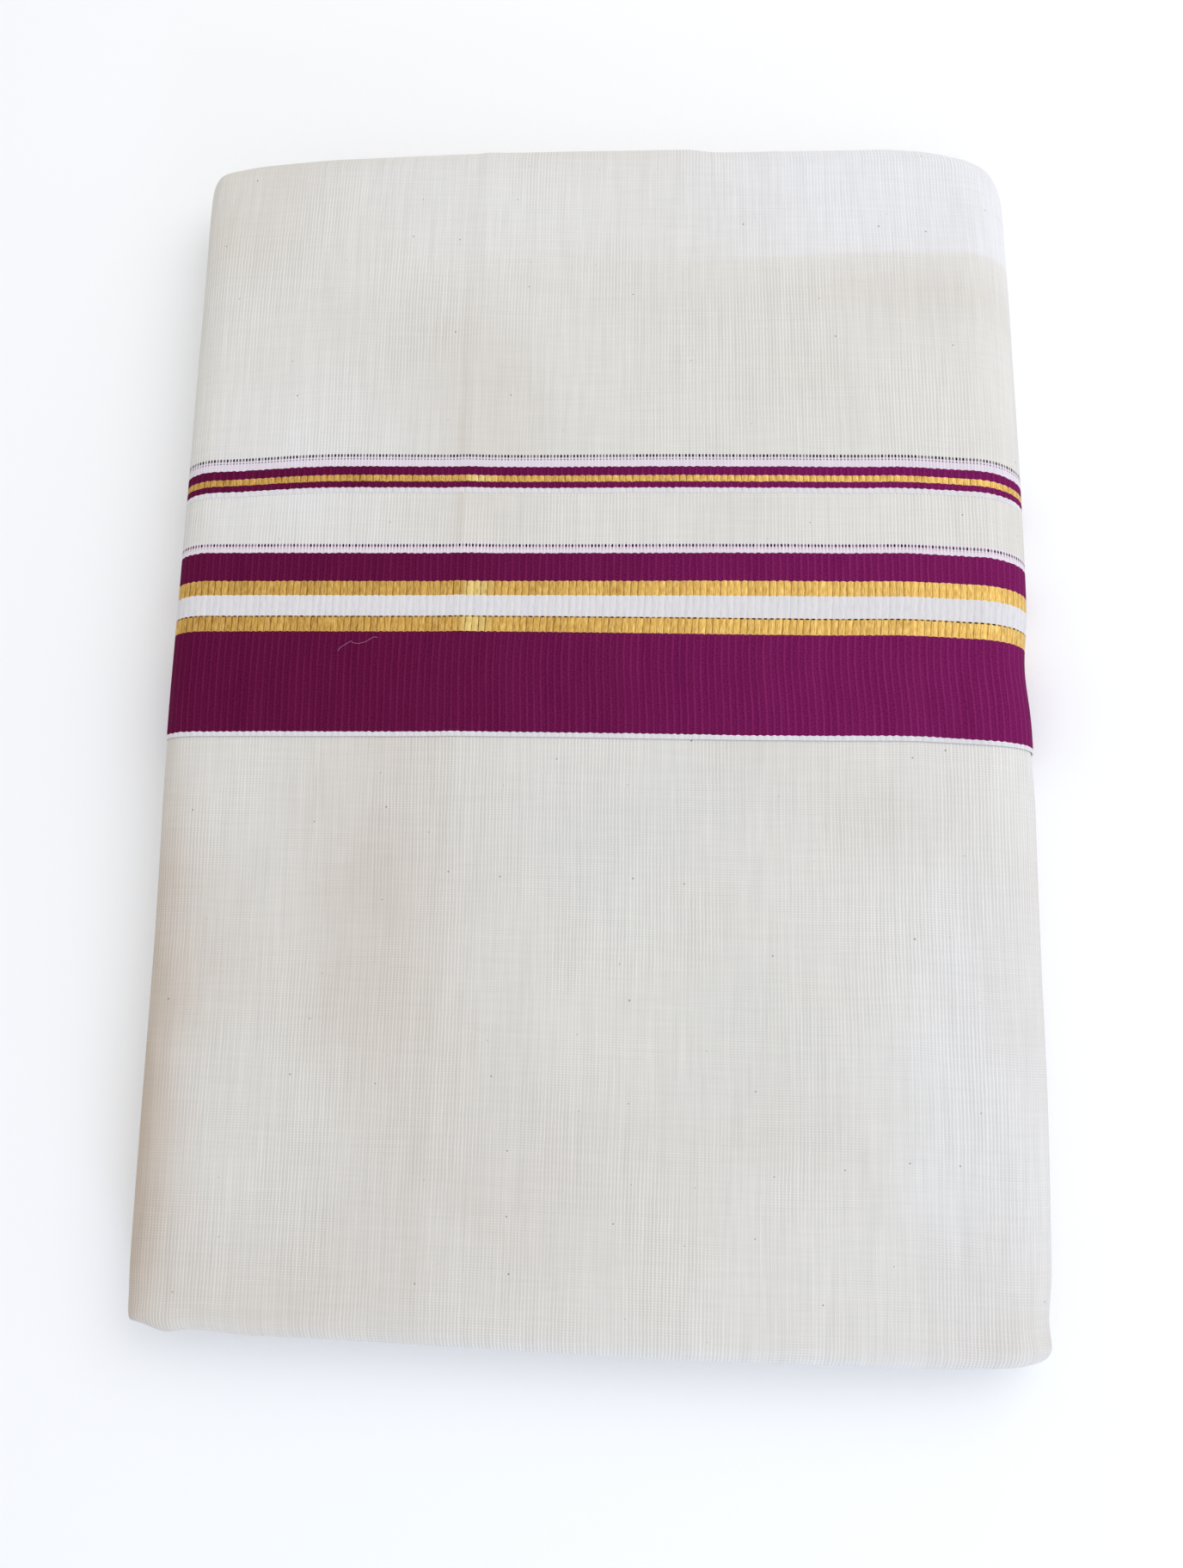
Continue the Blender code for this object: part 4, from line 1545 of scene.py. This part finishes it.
def thread_mesh(name, radius):
    """Thin tube along the loose thread's places, on the flap's face."""
    sides = THREAD_SIDES
    centres = []
    for x, y in THREAD_PLACES:
        t = (x + HALF_WIDTH - LEFT_ROUND) / (2.0 * HALF_WIDTH - LEFT_ROUND - RIGHT_ROUND)
        point = flap_face("top", t, y)
        centres.append(point + Vector((0.0, 0.0, 1.5 * radius)))
    points, faces = [], []
    for index, centre in enumerate(centres):
        before, after = centres[max(index - 1, 0)], centres[min(index + 1, len(centres) - 1)]
        along = (after - before).normalized()
        side = along.cross(Vector((0.0, 0.0, 1.0))).normalized()
        up = side.cross(along)
        for step in range(sides):
            angle = 2.0 * math.pi * step / sides
            points.append(centre + radius * (side * math.cos(angle) + up * math.sin(angle)))
    for ring in range(len(centres) - 1):
        for step in range(sides):
            a, b = ring * sides + step, ring * sides + (step + 1) % sides
            faces.append((a, b, b + sides, a + sides))
    faces.append(tuple(range(sides - 1, -1, -1)))
    faces.append(tuple(len(points) - sides + step for step in range(sides)))
    mesh = bpy.data.meshes.new(name)
    mesh.from_pydata([tuple(point) for point in points], [], faces)
    mesh.shade_smooth()
    return mesh


class DHOTI_OT_border_flap(Operator):
    """Build the bordered flap that lies over the far half of the pack"""

    bl_idname = "dhoti.border_flap"
    bl_label = "Bordered flap"

    def execute(self, context):
        grid = flap_grid(context.scene.dhoti_sizes)
        slot = "bordered_cotton"
        add_cloth("border_flap_cloth", [grid], finish_for(slot), "border_flap")
        mesh = thread_mesh("loose_thread", context.scene.dhoti_sizes.thread)
        colour = context.scene.dhoti_colours.thread
        mesh.materials.append(even_material("loose_thread", colour, THREAD_ROUGHNESS))
        thread = bpy.data.objects.new("loose_thread", mesh)
        context.scene.collection.objects.link(thread)
        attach(thread, BODY)
        return {"FINISHED"}


class DHOTI_OT_near_panel(Operator):
    """Build the plain panel of the near half of the pack"""

    bl_idname = "dhoti.near_panel"
    bl_label = "Plain near panel"

    def execute(self, context):
        grid = panel_grid(context.scene.dhoti_sizes)
        slot = "plain_cotton"
        add_cloth("near_panel_cloth", [grid], finish_for(slot), "near_panel")
        return {"FINISHED"}


class DHOTI_OT_hidden_folds(Operator):
    """Build the edges of the hidden plies at the far, near and left sides"""

    bl_idname = "dhoti.hidden_folds"
    bl_label = "Edges of the hidden plies"

    def execute(self, context):
        sizes = context.scene.dhoti_sizes
        slot = "layered_cotton"
        edges = (
            ("far_fold_edges", end_edge_grids("far", sizes)),
            ("near_fold_edges", end_edge_grids("near", sizes)),
            ("left_fold_edges", left_edge_grids(sizes)),
        )
        for name, grids in edges:
            add_cloth(name, grids, finish_for(slot), "folded_layers")
        return {"FINISHED"}


def add_lamp(name, place, size, power, colour):
    """Add a large soft lamp that shines at the pack."""
    lamp = bpy.data.lights.new(name + "_lamp", "AREA")
    lamp.shape = "SQUARE"
    lamp.size = size
    lamp.energy = power
    lamp.color = colour
    item = bpy.data.objects.new(name + "_lamp", lamp)
    item.location = place
    item.rotation_euler = (Vector(LAMP_TARGET) - item.location).to_track_quat("-Z", "Y").to_euler()
    bpy.context.scene.collection.objects.link(item)


class DHOTI_OT_stage(Operator):
    """Lay the pale floor and set the soft lights and the camera"""

    bl_idname = "dhoti.stage"
    bl_label = "Floor, lights and camera"

    def execute(self, context):
        settings = context.scene.dhoti_stage
        half = FLOOR_HALF
        corners = ((-half, -half), (half, -half), (half, half), (-half, half))
        mesh = bpy.data.meshes.new("floor")
        mesh.from_pydata([(x, y, FLOOR_LEVEL) for x, y in corners], [], [(0, 1, 2, 3)])
        mesh.materials.append(even_material("pale_floor", settings.floor, FLOOR_ROUGHNESS))
        floor = bpy.data.objects.new("floor", mesh)
        context.scene.collection.objects.link(floor)

        world = bpy.data.worlds.new("studio")
        world.use_nodes = True
        sky = world.node_tree.nodes["Background"]
        sky.inputs["Color"].default_value = (*settings.sky, 1.0)
        sky.inputs["Strength"].default_value = settings.sky_strength
        context.scene.world = world
        context.scene.view_settings.view_transform = "Standard"
        for lamp in LAMPS:
            add_lamp(power=getattr(settings, lamp["name"]), **lamp)

        lens = bpy.data.cameras.new("camera")
        lens.sensor_width = SENSOR
        lens.lens = settings.lens
        lens.clip_start = CLIP_START
        camera = bpy.data.objects.new("camera", lens)
        camera.location = CAMERA_PLACE
        camera.rotation_euler = Euler(CAMERA_TURN, "XYZ")
        context.scene.collection.objects.link(camera)
        context.scene.camera = camera
        return {"FINISHED"}


class VIEW3D_PT_dhoti(Panel):
    """Panel of the cloth's settings and steps"""

    bl_label = "Folded dhoti"
    bl_space_type = "VIEW_3D"
    bl_region_type = "UI"
    bl_category = "Dhoti"

    def draw(self, context):
        for name in SETTINGS:
            group = getattr(context.scene, name)
            box = self.layout.box()
            for label in group.__annotations__:
                box.prop(group, label)
        for operator in OPERATORS:
            self.layout.operator(operator.bl_idname)


SETTINGS = {
    "dhoti_sizes": ClothSizes,
    "dhoti_colours": YarnColours,
    "dhoti_weave": WeaveSizes,
    "dhoti_stage": StageSettings,
}
OPERATORS = (
    DHOTI_OT_border_flap,
    DHOTI_OT_near_panel,
    DHOTI_OT_hidden_folds,
    DHOTI_OT_stage,
)
CLASSES = (*SETTINGS.values(), *OPERATORS, VIEW3D_PT_dhoti)


def register():
    """Register the settings, the operators and the panel."""
    for kind in CLASSES:
        bpy.utils.register_class(kind)
    for name, kind in SETTINGS.items():
        setattr(bpy.types.Scene, name, PointerProperty(type=kind))


def unregister():
    """Take the settings, the operators and the panel away again."""
    for name in reversed(SETTINGS):
        delattr(bpy.types.Scene, name)
    for kind in reversed(CLASSES):
        bpy.utils.unregister_class(kind)


def main():
    """Build every piece and the stage."""
    register()
    bpy.ops.dhoti.border_flap()
    bpy.ops.dhoti.near_panel()
    bpy.ops.dhoti.hidden_folds()
    bpy.ops.dhoti.stage()
    bpy.context.view_layer.update()


if __name__ == "__main__":
    main()
